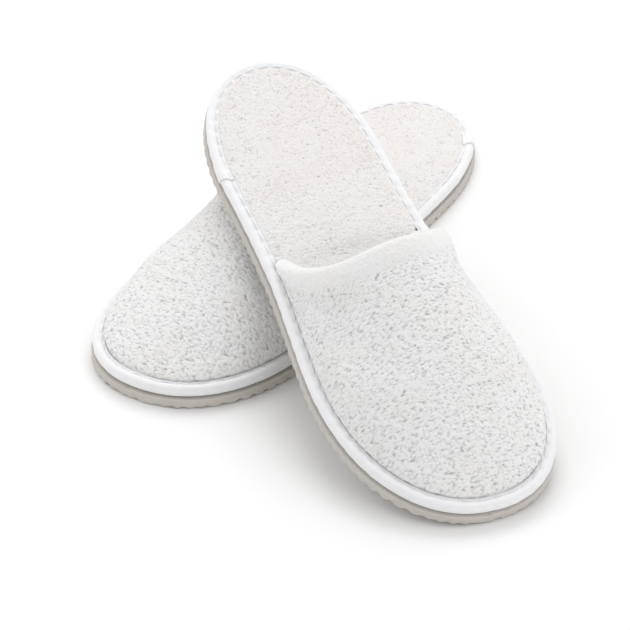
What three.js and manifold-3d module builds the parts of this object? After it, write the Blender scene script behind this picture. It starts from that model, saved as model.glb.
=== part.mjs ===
// A pair of closed-toe terry spa slippers, one lying flat and one resting across it.
// Millimetres, +Z up. Each slipper is built in its own flat frame: heel at x = 0, toe at
// x = LENGTH, the floor at z = 0, and the outer side of the foot towards +y for the left shoe.

import * as THREE from 'three';
import Module from 'manifold-3d';
import { mergeVertices } from 'three/addons/utils/BufferGeometryUtils.js';

const wasm = await Module();
wasm.setup();

// ---- Driving dimensions ---------------------------------------------------------------

// plan outline, measured over the edge binding
const LENGTH = 288.4;
const HEEL_HALF_WIDTH = 41.7;
const TOE_HALF_WIDTH = 52.7;
const HEEL_ARC = 70.7; // length of the rounded heel end
const TOE_ARC = 74.7; // length of the rounded toe end
const WAIST = 3.1; // how far each side draws in at the arch of the foot
const CAMBER = 4.1; // how far the centre line bows towards the outer side
const ROUNDNESS = 2.2; // exponent of the end arcs: 2 is an ellipse

// sole
const OUTSOLE_THICKNESS = 5;
const OUTSOLE_OVERHANG = 1; // how far the outsole shows beyond the binding
const RIB_PITCH = 6.5;
const GROOVE_WIDTH = 2.4;
const GROOVE_DEPTH = 0.9;
const BACKING_THICKNESS = 0.5;
const SOLE_FOAM_THICKNESS = 2.6;
const SOLE_FOAM_RIM = 1.2; // foam thickness where the binding pinches it
const SOLE_TERRY_THICKNESS = 1.5;
const SOLE_TERRY_RIM = 1;
const CLEARANCE = 0.3; // between pieces that touch
const CURVED_CLEARANCE = 0.45; // between curved layers of the vamp
const SHELF_CLEARANCE = 1.1; // from the vamp's seam to where the insole starts to swell

// edge binding tape, folded round the rim of the insole
const TAPE_THICKNESS = 0.6;
const TAPE_WIDTH = 5.4; // of each folded leg
const TAPE_ROUNDING = 1.6; // corner of the fold
const EDGE_THREAD_DIAMETER = 0.7;
const EDGE_THREAD_INSET = 4.2;

// vamp, the closed upper over the toes
const VAMP_HEIGHT = 52; // crown of the terry above its seam
const TOE_TO_CROWN = 122.2; // from the toe back to the middle of the opening
const TOE_TO_OUTER_END = 167.2; // from the toe back to where the opening meets the binding
const TOE_TO_INNER_END = 162.2;
const OUTER_SWEEP = 1.7; // how sharply each side of the opening sweeps back
const INNER_SWEEP = 1.15;
const RISE = 0.73; // exponent of the climb from toe to crown
const ARCH = 1.93; // exponent of the arch across the foot
const LEAN = 3; // how far the crown sits towards the inner side
const TERRY_THICKNESS = 1.8;
const FOAM_THICKNESS = 1.8;
const LINING_THICKNESS = 0.7;
const FLANGE_THICKNESS = 0.6; // terry pinched flat inside the binding

// strip of terry folded round the edge of the opening
const HEM_WIDTH = 12;
const HEM_THICKNESS = 1.2;
const HEM_THREAD_DIAMETER = 0.7;
const HEM_THREAD_FROM_EDGE = 9.5;

// how the two slippers lie
const CROSSING_ANGLE = 55.66; // between their long axes, degrees
const LOWER_TOE_TO_CROSSING = 138.5;
const UPPER_TOE_TO_CROSSING = 233.1;
const RESTING_GAP = 0.4; // between the lower hem and the outsole lying on it

// fineness of the curved surfaces
const ARC_STEPS = 10;
const SIDE_STEPS = 8;
const VAMP_ROWS = 12;
const VAMP_COLUMNS = 20;
const SETTLING_ROUNDS = 8;

// ---- Levels worked out from them ------------------------------------------------------

const TAPE_BOTTOM = OUTSOLE_THICKNESS + CLEARANCE;
const BACKING_RIM = TAPE_BOTTOM + TAPE_THICKNESS + CLEARANCE;
const BACKING_TOP = BACKING_RIM + BACKING_THICKNESS;
const FOAM_BOTTOM = BACKING_TOP + CLEARANCE;
const FOAM_RIM_TOP = FOAM_BOTTOM + SOLE_FOAM_RIM;
const FOAM_TOP = FOAM_BOTTOM + SOLE_FOAM_THICKNESS;
const TERRY_RIM_BOTTOM = FOAM_RIM_TOP + CLEARANCE;
const TERRY_RIM_TOP = TERRY_RIM_BOTTOM + SOLE_TERRY_RIM;
const TERRY_TOP = FOAM_TOP + CLEARANCE + SOLE_TERRY_THICKNESS;
const FLANGE_BOTTOM = TERRY_RIM_TOP + CLEARANCE;
const FLANGE_TOP = FLANGE_BOTTOM + FLANGE_THICKNESS;
const TAPE_TOP = FLANGE_TOP + CLEARANCE + TAPE_THICKNESS;
const LAYER_EDGE = TAPE_THICKNESS + TAPE_ROUNDING + CLEARANCE; // inset of the pinched edges
const SEAM = TAPE_WIDTH + CLEARANCE; // inset of the terry where it leaves the binding
const SHELF = SEAM + TERRY_THICKNESS + SHELF_CLEARANCE;
const SWELL = SHELF + 1.4; // inset where it reaches its full height
const LINER_BASE = TERRY_TOP + CLEARANCE; // the foam and lining stop just over the insole

const FOAM_DEPTH = TERRY_THICKNESS + CURVED_CLEARANCE;
const LINING_DEPTH = FOAM_DEPTH + FOAM_THICKNESS + CURVED_CLEARANCE;
const VAMP_DEPTH = LINING_DEPTH + LINING_THICKNESS;

// ---- Materials ------------------------------------------------------------------------

const finish = (color, roughness) =>
  new THREE.MeshStandardMaterial({ color, roughness, metalness: 0 });
const FINISHES = {
  terry: finish(0xf4f4f4, 0.95),
  insoleTerry: finish(0xf2eeea, 0.95),
  tape: finish(0xf3f5f8, 0.8),
  thread: finish(0xfafafa, 0.6),
  foam: finish(0xf0efe6, 0.9),
  lining: finish(0xf5f5f3, 0.85),
  backing: finish(0xe4e2dc, 0.9),
  eva: finish(0xbab4aa, 0.7),
};

// ---- Plan outline ---------------------------------------------------------------------

// half the width at station x along the slipper
function halfWidth(x) {
  const arc = (run, half) => half * (1 - Math.min(run, 1) ** ROUNDNESS) ** (1 / ROUNDNESS);
  if (x < HEEL_ARC) return arc(1 - x / HEEL_ARC, HEEL_HALF_WIDTH);
  const toeStart = LENGTH - TOE_ARC;
  if (x > toeStart) return arc((x - toeStart) / TOE_ARC, TOE_HALF_WIDTH);
  const u = (x - HEEL_ARC) / (toeStart - HEEL_ARC);
  const blend = 3 * u * u - 2 * u ** 3;
  const drawnIn = WAIST * 16 * u * u * (1 - u) ** 2;
  return HEEL_HALF_WIDTH + (TOE_HALF_WIDTH - HEEL_HALF_WIDTH) * blend - drawnIn;
}

const centreLine = (x) => CAMBER * 4 * (x / LENGTH) * (1 - x / LENGTH);

// closed outline, anticlockwise from the heel, moved inwards by inset; the first point is
// the heel tip and the middle one the toe tip
function outline(inset, fineness = 1) {
  const arcSteps = ARC_STEPS * fineness;
  const sideSteps = SIDE_STEPS * fineness;
  const stations = [];
  for (let i = 0; i <= arcSteps; i++) {
    stations.push(HEEL_ARC * (1 - Math.cos((Math.PI / 2) * (i / arcSteps))));
  }
  for (let i = 1; i < sideSteps; i++) {
    stations.push(HEEL_ARC + (LENGTH - TOE_ARC - HEEL_ARC) * (i / sideSteps));
  }
  for (let i = 0; i <= arcSteps; i++) {
    stations.push(LENGTH - TOE_ARC + TOE_ARC * Math.sin((Math.PI / 2) * (i / arcSteps)));
  }
  const inner = stations.map((x) => [x, centreLine(x) - halfWidth(x)]);
  const outer = stations.slice(1, -1).map((x) => [x, centreLine(x) + halfWidth(x)]);
  const points = [...inner, ...outer.reverse()];
  return points.map(([x, y], i) => {
    const [ax, ay] = points[(i + points.length - 1) % points.length];
    const [bx, by] = points[(i + 1) % points.length];
    const run = Math.hypot(bx - ax, by - ay);
    return [x - (inset * (by - ay)) / run, y + (inset * (bx - ax)) / run];
  });
}

// the two sides of an inset outline as functions of x
class Edge {
  constructor(inset) {
    const points = outline(inset, 4);
    const tip = points.length / 2;
    this.tip = points[tip][0];
    this.inner = points.slice(0, tip + 1);
    this.outer = [points[0], ...points.slice(tip).reverse()];
  }

  static cross(side, x) {
    let i = 1;
    while (i < side.length - 1 && side[i][0] < x) i++;
    const [[ax, ay], [bx, by]] = [side[i - 1], side[i]];
    const share = Math.min(1, Math.max(0, (x - ax) / (bx - ax)));
    return ay + (by - ay) * share;
  }

  middle(x) {
    return (Edge.cross(this.inner, x) + Edge.cross(this.outer, x)) / 2;
  }

  half(x) {
    return (Edge.cross(this.outer, x) - Edge.cross(this.inner, x)) / 2;
  }
}

// ---- Solids ---------------------------------------------------------------------------

// a mesh from corners and triangles; hand is 1 for the left shoe and -1 for its mirror image
function body(name, material, hand, corners, triangles) {
  const geometry = new THREE.BufferGeometry();
  const positions = corners.flatMap(([x, y, z]) => [x, hand * y, z]);
  const order = hand > 0 ? triangles : triangles.map(([a, b, c]) => [a, c, b]);
  geometry.setAttribute('position', new THREE.Float32BufferAttribute(positions, 3));
  geometry.setIndex(order.flat());
  geometry.computeVertexNormals();
  const mesh = new THREE.Mesh(geometry, material);
  mesh.name = name;
  return mesh;
}

// rings of equal length joined one to the next, each ring [inset, z]
function bandTriangles(rings, count, closed) {
  const triangles = [];
  const last = closed ? rings : rings - 1;
  for (let r = 0; r < last; r++) {
    const next = (r + 1) % rings;
    for (let i = 0; i < count; i++) {
      const j = (i + 1) % count;
      const [a, b] = [r * count + i, r * count + j];
      const [c, d] = [next * count + j, next * count + i];
      triangles.push([a, b, c], [a, c, d]);
    }
  }
  return triangles;
}

// a loop of constant section that follows the outline; profile is anticlockwise as seen
// looking along the loop with the outside of the slipper on the right
function loopSolid(name, material, hand, profile) {
  const corners = profile.flatMap(([inset, z]) => outline(inset).map(([x, y]) => [x, y, z]));
  const count = corners.length / profile.length;
  return body(name, material, hand, corners, bandTriangles(profile.length, count, true));
}

// a plate with the slipper's outline; profile runs from the bottom face to the top face
function plateSolid(name, material, hand, profile) {
  const corners = profile.flatMap(([inset, z]) => outline(inset).map(([x, y]) => [x, y, z]));
  const count = corners.length / profile.length;
  const triangles = bandTriangles(profile.length, count, false);
  const hub = [LENGTH / 2, centreLine(LENGTH / 2)];
  const low = corners.push([...hub, profile[0][1]]) - 1;
  const high = corners.push([...hub, profile[profile.length - 1][1]]) - 1;
  const top = (profile.length - 1) * count;
  for (let i = 0; i < count; i++) {
    const j = (i + 1) % count;
    triangles.push([low, j, i], [high, top + i, top + j]);
  }
  return body(name, material, hand, corners, triangles);
}

// two sheets with the same corners, joined round their shared rim into one closed skin
function skinSolid(name, material, hand, outerSheet, innerSheet, triangles, rim) {
  const offset = outerSheet.length;
  const all = [...triangles];
  for (const [a, b, c] of triangles) all.push([a + offset, c + offset, b + offset]);
  rim.forEach((a, i) => {
    const b = rim[(i + 1) % rim.length];
    all.push([b, a, a + offset], [b, a + offset, b + offset]);
  });
  return body(name, material, hand, [...outerSheet, ...innerSheet], all);
}

function toManifold(geometry) {
  const bare = geometry.clone();
  bare.deleteAttribute('normal');
  bare.deleteAttribute('uv');
  const merged = mergeVertices(bare);
  return new wasm.Manifold(new wasm.Mesh({
    numProp: 3,
    vertProperties: new Float32Array(merged.attributes.position.array),
    triVerts: new Uint32Array(merged.index.array),
  }));
}

function fromManifold(solid) {
  const { vertProperties, triVerts } = solid.getMesh();
  const geometry = new THREE.BufferGeometry();
  geometry.setAttribute('position', new THREE.BufferAttribute(vertProperties, 3));
  geometry.setIndex(new THREE.BufferAttribute(triVerts, 1));
  geometry.computeVertexNormals();
  return geometry;
}

// ---- Sole pieces ----------------------------------------------------------------------

// foam outsole with grooves across its underside; a rib lies under the middle of the foot
function outsole(name, hand) {
  const profile = [[-OUTSOLE_OVERHANG, 0], [-OUTSOLE_OVERHANG, OUTSOLE_THICKNESS]];
  const mesh = plateSolid(name, FINISHES.eva, hand, profile);
  let solid = toManifold(mesh.geometry);
  const grooveLength = 4 * TOE_HALF_WIDTH;
  const count = Math.floor((LENGTH / 2 - RIB_PITCH) / RIB_PITCH);
  for (let i = -count; i < count; i++) {
    const groove = new THREE.BoxGeometry(GROOVE_WIDTH, grooveLength, 2 * GROOVE_DEPTH);
    groove.translate(LENGTH / 2 + (i + 0.5) * RIB_PITCH, 0, 0);
    solid = solid.subtract(toManifold(groove));
  }
  mesh.geometry = fromManifold(solid);
  return mesh;
}

// stiffening sheet under the insole, stepped up at its rim to let the tape fold under it
function insoleBacking(name, hand) {
  return plateSolid(name, FINISHES.backing, hand, [
    [SEAM + BACKING_THICKNESS, TAPE_BOTTOM],
    [SEAM + CLEARANCE, BACKING_RIM],
    [LAYER_EDGE, BACKING_RIM],
    [LAYER_EDGE, BACKING_TOP],
  ]);
}

function insoleFoam(name, hand) {
  return plateSolid(name, FINISHES.foam, hand, [
    [LAYER_EDGE, FOAM_BOTTOM],
    [LAYER_EDGE, FOAM_RIM_TOP],
    [SHELF + CLEARANCE, FOAM_RIM_TOP],
    [SWELL + CLEARANCE, FOAM_TOP],
  ]);
}

// terry cover: thin under the binding, then swelling over the foam
function insoleTerry(name, hand) {
  return plateSolid(name, FINISHES.insoleTerry, hand, [
    [SWELL, FOAM_TOP + CLEARANCE],
    [SHELF, TERRY_RIM_BOTTOM],
    [LAYER_EDGE, TERRY_RIM_BOTTOM],
    [LAYER_EDGE, TERRY_RIM_TOP],
    [SHELF, TERRY_RIM_TOP],
    [SWELL, TERRY_TOP],
  ]);
}

// ---- Binding --------------------------------------------------------------------------

// tape folded round the rim: an outer skin and an inner skin offset by its thickness
function edgeBinding(name, hand) {
  const fold = (lift, depth) => [
    [TAPE_WIDTH, TAPE_TOP - lift],
    [TAPE_ROUNDING + depth / 2, TAPE_TOP - lift],
    [depth, TAPE_TOP - TAPE_ROUNDING],
    [depth, TAPE_BOTTOM + TAPE_ROUNDING],
    [TAPE_ROUNDING + depth / 2, TAPE_BOTTOM + lift],
    [TAPE_WIDTH, TAPE_BOTTOM + lift],
  ];
  const outside = fold(0, 0);
  const inside = fold(TAPE_THICKNESS, TAPE_THICKNESS).reverse();
  return loopSolid(name, FINISHES.tape, hand, [...outside, ...inside].reverse());
}

// round section for a thread, as [across, up] about its middle
function threadSection(diameter) {
  const sides = 5;
  return Array.from({ length: sides }, (_, i) => {
    const angle = (2 * Math.PI * i) / sides;
    return [(diameter / 2) * Math.cos(angle), (diameter / 2) * Math.sin(angle)];
  });
}

function edgeThread(name, hand) {
  const up = TAPE_TOP + CLEARANCE + EDGE_THREAD_DIAMETER / 2;
  const profile = threadSection(EDGE_THREAD_DIAMETER).map(
    ([across, rise]) => [EDGE_THREAD_INSET - across, up + rise]);
  return loopSolid(name, FINISHES.thread, hand, profile);
}

// ---- Vamp -----------------------------------------------------------------------------

const CROWN_X = LENGTH - TOE_TO_CROWN;

// station of the opening's edge at angle phi, 0 at the inner side and pi at the outer side
function openingX(phi) {
  const outer = phi > Math.PI / 2;
  const end = outer ? TOE_TO_OUTER_END : TOE_TO_INNER_END;
  const sweep = outer ? OUTER_SWEEP : INNER_SWEEP;
  const back = Math.max(0, 1 - Math.sin(phi)) ** sweep;
  return CROWN_X - (end - TOE_TO_CROWN) * back;
}

// a domed surface at the given depth inside the vamp's outer face
class Dome {
  constructor(depth) {
    this.edge = new Edge(SEAM + depth);
    this.crown = VAMP_HEIGHT - depth;
  }

  share(x) {
    return Math.max(0, (this.edge.tip - x) / (this.edge.tip - CROWN_X));
  }

  height(x) {
    return this.crown * this.share(x) ** RISE;
  }

  // station where the dome's ridge stands at z
  stationAt(z) {
    const rise = (z - FLANGE_BOTTOM) / this.crown;
    return this.edge.tip - rise ** (1 / RISE) * (this.edge.tip - CROWN_X);
  }

  // angle at which the dome stands at z
  angleAt(x, z) {
    const share = Math.min(1, (z - FLANGE_BOTTOM) / this.height(x));
    return Math.asin(share ** (ARCH / 2));
  }

  point(x, phi) {
    const [c, s] = [Math.cos(phi), Math.max(0, Math.sin(phi))];
    const across = Math.sign(c) * Math.abs(c) ** (2 / ARCH) * this.edge.half(x);
    const lean = LEAN * Math.min(this.share(x), 1) * s * s;
    const y = this.edge.middle(x) - across - lean;
    return [x, y, FLANGE_BOTTOM + this.height(x) * s ** (2 / ARCH)];
  }

  // the point a share of the way over the arch and along it, on a sheet that starts at
  // station start and stands on the level base; its station and its angle depend on each
  // other, so they are settled in a few rounds; rows stand closer at the toe and the opening
  sheetPoint(start, base, along, over) {
    let [x, phi] = [start, Math.PI * over];
    for (let round = 0; round < SETTLING_ROUNDS; round++) {
      x = start - (start - openingX(phi)) * (1 - Math.cos(Math.PI * along)) / 2;
      const low = this.angleAt(x, base);
      phi = low + (Math.PI - 2 * low) * over;
    }
    return this.point(x, phi);
  }

  // rows from the toe to the opening, down to the level base, with the toe's point first
  sheet(base, setback = 0) {
    const start = this.stationAt(base) - setback;
    const points = [[start, this.edge.middle(start), this.point(start, Math.PI / 2)[2]]];
    for (let row = 1; row <= VAMP_ROWS; row++) {
      for (let column = 0; column <= VAMP_COLUMNS; column++) {
        points.push(this.sheetPoint(start, base, row / VAMP_ROWS, column / VAMP_COLUMNS));
      }
    }
    return points;
  }
}

const vampCorner = (row, column) => 1 + (row - 1) * (VAMP_COLUMNS + 1) + column;

function vampTriangles() {
  const triangles = [];
  for (let column = 0; column < VAMP_COLUMNS; column++) {
    triangles.push([0, vampCorner(1, column + 1), vampCorner(1, column)]);
    for (let row = 1; row < VAMP_ROWS; row++) {
      const [a, b] = [vampCorner(row, column), vampCorner(row, column + 1)];
      const [c, d] = [vampCorner(row + 1, column + 1), vampCorner(row + 1, column)];
      triangles.push([a, b, c], [a, c, d]);
    }
  }
  return triangles;
}

// the seam line of a sheet: along the inner side to the toe and back along the outer side
function seamCorners() {
  const rows = Array.from({ length: VAMP_ROWS }, (_, i) => i + 1);
  const inner = rows.map((row) => vampCorner(row, 0)).reverse();
  const outer = rows.map((row) => vampCorner(row, VAMP_COLUMNS));
  return [...inner, 0, ...outer];
}

// the opening's edge from the outer side to the inner side, without its two ends
function openingCorners() {
  const columns = Array.from({ length: VAMP_COLUMNS - 1 }, (_, i) => VAMP_COLUMNS - 1 - i);
  return columns.map((column) => vampCorner(VAMP_ROWS, column));
}

function layerSkin(name, material, hand, depth, thickness, base) {
  const outerSheet = new Dome(depth).sheet(base);
  const innerSheet = new Dome(depth + thickness).sheet(base);
  const rim = [...seamCorners(), ...openingCorners()];
  return skinSolid(name, material, hand, outerSheet, innerSheet, vampTriangles(), rim);
}

// outer terry, with a flat flange that lies inside the binding
function vampTerry(name, hand) {
  const flangeEdge = new Edge(LAYER_EDGE);
  const seam = seamCorners();
  const withFlange = (dome, base) => {
    const points = dome.sheet(base);
    const start = points[0][0];
    seam.forEach((corner, i) => {
      const [x] = points[corner];
      const share = (start - x) / (start - openingX(0));
      const out = flangeEdge.tip - share * (flangeEdge.tip - openingX(0));
      const side = i < VAMP_ROWS ? -1 : 1;
      const y = i === VAMP_ROWS ? flangeEdge.middle(out)
        : flangeEdge.middle(out) + side * flangeEdge.half(out);
      points.push([out, y, base]);
    });
    return points;
  };
  const triangles = vampTriangles();
  const flange = vampCorner(VAMP_ROWS, VAMP_COLUMNS) + 1;
  for (let i = 0; i < seam.length - 1; i++) {
    triangles.push([seam[i], flange + i, flange + i + 1], [seam[i], flange + i + 1, seam[i + 1]]);
  }
  const rim = seam.map((_, i) => flange + i);
  rim.push(seam[seam.length - 1], ...openingCorners(), seam[0]);
  const outerSheet = withFlange(new Dome(0), FLANGE_TOP);
  const innerSheet = withFlange(new Dome(TERRY_THICKNESS), FLANGE_BOTTOM);
  return skinSolid(name, FINISHES.terry, hand, outerSheet, innerSheet, triangles, rim);
}

// a bar with flat ends, swept over the arch of the opening; section(phi) gives its corners
function archSolid(name, material, hand, section, low) {
  const stations = Array.from({ length: VAMP_COLUMNS + 1 }, (_, i) =>
    low + (Math.PI - 2 * low) * (i / VAMP_COLUMNS));
  const rings = stations.map(section);
  const count = rings[0].length;
  const triangles = bandTriangles(rings.length, count, false);
  const contour = rings[VAMP_COLUMNS / 2].map(([x, , z]) => new THREE.Vector2(x, z));
  const { area, triangulateShape } = THREE.ShapeUtils;
  const end = (rings.length - 1) * count;
  for (const face of triangulateShape(contour, [])) {
    const along = area(face.map((i) => contour[i])) * area(contour) > 0;
    const [a, b, c] = along ? face : face.toReversed();
    triangles.push([a, c, b], [end + a, end + b, end + c]);
  }
  return body(name, material, hand, rings.flat(), triangles);
}

const domes = new Map();
function domeAt(depth) {
  if (!domes.has(depth)) domes.set(depth, new Dome(depth));
  return domes.get(depth);
}

// angle at which the hem's ends stop, clear of the thread on the binding
function hemEnd(raise) {
  const top = TAPE_TOP + 2 * CLEARANCE + EDGE_THREAD_DIAMETER + raise;
  return domeAt(0).angleAt(openingX(0), top);
}

// terry strip folded over the edge of the vamp's three layers
function openingHem(name, hand) {
  const out = CLEARANCE + HEM_THICKNESS;
  const deep = VAMP_DEPTH + CLEARANCE;
  const round = HEM_THICKNESS;
  const section = (phi) => [
    [-CLEARANCE, HEM_WIDTH], [-CLEARANCE, HEM_WIDTH / 3], [-CLEARANCE, -CLEARANCE],
    [deep, -CLEARANCE], [deep, HEM_WIDTH / 3], [deep, HEM_WIDTH],
    [deep + round, HEM_WIDTH], [deep + round, HEM_WIDTH / 3], [deep + round / 2, -CLEARANCE],
    [VAMP_DEPTH - round, -round - CLEARANCE], [round, -round - CLEARANCE],
    [-out + round / 2, -CLEARANCE], [-out, HEM_WIDTH / 3], [-out, HEM_WIDTH],
  ].map(([depth, forward]) => domeAt(depth).point(openingX(phi) + forward, phi));
  return archSolid(name, FINISHES.terry, hand, section, hemEnd(0));
}

function hemThread(name, hand) {
  const depth = -(2 * CLEARANCE + HEM_THICKNESS + HEM_THREAD_DIAMETER / 2);
  const section = (phi) => threadSection(HEM_THREAD_DIAMETER).map(
    ([across, rise]) => domeAt(depth - rise).point(
      openingX(phi) + HEM_THREAD_FROM_EDGE - across, phi));
  return archSolid(name, FINISHES.thread, hand, section, hemEnd(HEM_THREAD_DIAMETER));
}

// ---- One slipper ----------------------------------------------------------------------

function slipper(prefix, hand) {
  const group = new THREE.Group();
  group.add(
    outsole(`${prefix}_outsole`, hand),
    insoleBacking(`${prefix}_insole_backing`, hand),
    insoleFoam(`${prefix}_insole_foam`, hand),
    insoleTerry(`${prefix}_insole_terry`, hand),
    edgeBinding(`${prefix}_edge_binding`, hand),
    edgeThread(`${prefix}_edge_thread`, hand),
    vampTerry(`${prefix}_vamp_terry`, hand),
    layerSkin(`${prefix}_vamp_foam`, FINISHES.foam, hand, FOAM_DEPTH, FOAM_THICKNESS, LINER_BASE),
    layerSkin(`${prefix}_vamp_lining`, FINISHES.lining, hand,
      LINING_DEPTH, LINING_THICKNESS, LINER_BASE),
    openingHem(`${prefix}_opening_hem`, hand),
    hemThread(`${prefix}_hem_thread`, hand),
  );
  return group;
}

// ---- The pair -------------------------------------------------------------------------

const pair = new THREE.Group();

// the left shoe lies flat with its toe towards -Y
const lower = slipper('lower', 1);
lower.rotation.z = -Math.PI / 2;
pair.add(lower);
pair.updateMatrixWorld(true);

// the right shoe stands on its toe and leans on the lower vamp
const crossing = new THREE.Vector3(0, LOWER_TOE_TO_CROSSING - LENGTH, 0);
const heading = THREE.MathUtils.degToRad(CROSSING_ANGLE) - Math.PI / 2;
const forward = new THREE.Vector3(Math.cos(heading), Math.sin(heading), 0);
const toe = crossing.clone().addScaledVector(forward, UPPER_TOE_TO_CROSSING);

// pitch at which its underside just clears every point of the lower shoe
function restingPitch() {
  let steepest = 0;
  const point = new THREE.Vector3();
  lower.traverse((part) => {
    if (!part.isMesh) return;
    const positions = part.geometry.attributes.position;
    for (let i = 0; i < positions.count; i++) {
      point.fromBufferAttribute(positions, i).applyMatrix4(part.matrixWorld);
      const behind = toe.clone().sub(point).dot(forward);
      if (behind > 0) steepest = Math.max(steepest, (point.z + RESTING_GAP) / behind);
    }
  });
  return Math.atan(steepest);
}

const upper = slipper('upper', -1);
upper.position.set(-(LENGTH + OUTSOLE_OVERHANG), 0, 0);
const tilt = new THREE.Group();
tilt.rotation.y = restingPitch();
tilt.add(upper);
const turn = new THREE.Group();
turn.position.copy(toe);
turn.rotation.z = heading;
turn.add(tilt);
pair.add(turn);

// origin under the middle of the pair, on the floor
const bounds = new THREE.Box3().setFromObject(pair, true);
const centre = bounds.getCenter(new THREE.Vector3());
pair.position.set(-centre.x, -centre.y, -bounds.min.z);
pair.updateMatrixWorld(true);

export default pair;
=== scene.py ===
"""Looks of a pair of white terry spa slippers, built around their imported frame.

Each slipper is shaped in its own flat frame in millimetres: the heel tip at x = 0, the toe at
x = length, the ground at z = 0 and the outer side of the foot towards +y. A Placement then
carries every point to the shared frame, in metres.
"""

import logging
import math
from dataclasses import dataclass, field
from enum import Enum

import bpy
import numpy as np
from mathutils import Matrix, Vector


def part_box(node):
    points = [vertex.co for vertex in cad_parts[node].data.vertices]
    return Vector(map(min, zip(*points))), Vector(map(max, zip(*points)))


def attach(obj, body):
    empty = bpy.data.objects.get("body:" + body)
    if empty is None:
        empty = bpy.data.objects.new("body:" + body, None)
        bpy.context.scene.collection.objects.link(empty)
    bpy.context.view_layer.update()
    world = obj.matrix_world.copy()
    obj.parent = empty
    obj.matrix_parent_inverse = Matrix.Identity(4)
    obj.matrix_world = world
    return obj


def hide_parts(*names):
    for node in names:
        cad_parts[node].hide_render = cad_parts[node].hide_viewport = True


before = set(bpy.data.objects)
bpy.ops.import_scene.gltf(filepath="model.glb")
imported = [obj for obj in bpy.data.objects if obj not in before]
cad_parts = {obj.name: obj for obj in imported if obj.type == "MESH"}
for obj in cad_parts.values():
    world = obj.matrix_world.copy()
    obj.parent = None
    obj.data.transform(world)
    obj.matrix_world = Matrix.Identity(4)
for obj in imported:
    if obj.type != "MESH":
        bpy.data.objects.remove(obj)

LOG = logging.getLogger("slippers")
MM = 0.001
FINE = 900  # samples along a path or along an end arc of the outline
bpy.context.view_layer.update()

UP_TO_LAST, FROM_SECOND = slice(None, -1), slice(1, None)
QUAD_CORNERS = (
    (UP_TO_LAST, UP_TO_LAST), (FROM_SECOND, UP_TO_LAST),
    (FROM_SECOND, FROM_SECOND), (UP_TO_LAST, FROM_SECOND),
)

Array = np.ndarray
Piece = bpy.types.Object
Material = bpy.types.Material
Number = float | int
Triple = tuple[float, float, float]


# ---- Levels and insets that the pieces share, in millimetres ---------------------------


class Level:
    """Heights above the ground of a slipper's layers."""

    OUTSOLE_TOP = 5.0
    TAPE_BOTTOM = 5.3
    FOAM_BOTTOM = 7.0
    FOAM_RIM = 8.2
    FOAM_TOP = 9.6
    COVER_RIM_BOTTOM = 8.5
    COVER_RIM = 9.5
    COVER_BOTTOM = 9.9
    COVER_TOP = 11.4
    FLANGE_BOTTOM = 9.8
    FLANGE_TOP = 10.4
    TAPE_TOP = 11.3
    LINER_BASE = 11.7


class Inset:
    """Distances inwards from the outline over the edge binding."""

    OUTSOLE = -1.0
    LAYER_EDGE = 2.5
    STITCHES = 4.2
    TAPE = 5.4
    SEAM = 5.7


class Hand(Enum):
    """Which foot a slipper is for; the value mirrors its flat frame."""

    LEFT = 1
    RIGHT = -1


def smooth(low: float, high: float, value: Array) -> Array:
    """Rises from 0 at low to 1 at high along the curve 3t^2 - 2t^3."""
    t = np.clip((value - low) / (high - low), 0.0, 1.0)
    return t * t * (3.0 - 2.0 * t)


def running_length(points: Array) -> Array:
    """Length along a polyline up to each of its points."""
    steps = np.linalg.norm(np.diff(points, axis=0), axis=-1)
    return np.concatenate([[0.0], np.cumsum(steps)])


def at_lengths(at: Array, run: Array, points: Array) -> Array:
    """The (x, y) of a polyline, whose points lie at lengths run, at the lengths at."""
    return np.stack([np.interp(at, run, points[:, k]) for k in range(2)], axis=-1)


def blend(low: float, high: float, share: Array) -> Array:
    """The value a share of the way from low to high."""
    return low + (high - low) * share


def every(step: int, count: int) -> Array:
    """Every step-th number below count, and the last one."""
    return np.unique(np.r_[np.arange(0, count, step), count - 1])


def crowded(count: int, pull: float) -> Array:
    """Shares from 0 to 1, drawn towards both ends by a sine."""
    share = np.linspace(0.0, 1.0, count)
    return share - pull * np.sin(2.0 * math.pi * share)


def round_columns(count: int) -> Array:
    """Shares of the half width from -1 to 1, crowded towards both sides."""
    return np.sin(np.linspace(-math.pi / 2.0, math.pi / 2.0, count))


def soft_path(corners: list[tuple[float, float]], count: int, softness: float) -> Array:
    """An open path through rounded corners.

    The polyline is sampled at equal lengths and averaged under a bell curve as wide as
    softness; it is continued straight past both ends first, so that they stay in place.

    Args:
        corners: corners of the polyline.
        count: number of points returned, at equal lengths.
        softness: reach of the averaging, in the corners' unit.

    Returns:
        The path's points, shape (count, 2).
    """
    raw = np.array(corners, float)
    first, last = raw[0] - raw[1], raw[-1] - raw[-2]
    reach = 4.0 * softness
    raw = np.vstack(
        [raw[0] + first / np.linalg.norm(first) * reach, raw,
         raw[-1] + last / np.linalg.norm(last) * reach]
    )
    run = running_length(raw)
    fine = np.linspace(0.0, run[-1], FINE)
    dense = at_lengths(fine, run, raw)
    step = fine[1]
    half = max(1, int(3.0 * softness / step))
    bell = np.exp(-0.5 * (np.arange(-half, half + 1) * step / softness) ** 2)
    bell /= bell.sum()
    padded = np.pad(dense, ((half, half), (0, 0)), mode="edge")
    even = np.stack([np.convolve(padded[:, k], bell, mode="valid") for k in range(2)], axis=1)
    inside = (fine >= reach) & (fine <= run[-1] - reach)
    kept = even[inside]
    run = running_length(kept)
    return at_lengths(np.linspace(0.0, run[-1], count), run, kept)


def path_normals(path: Array) -> Array:
    """Unit normals to the left of an open path of (n, 2) points."""
    along = np.gradient(path, axis=0)
    along /= np.linalg.norm(along, axis=1, keepdims=True)
    return np.stack([-along[:, 1], along[:, 0]], axis=1)


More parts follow.
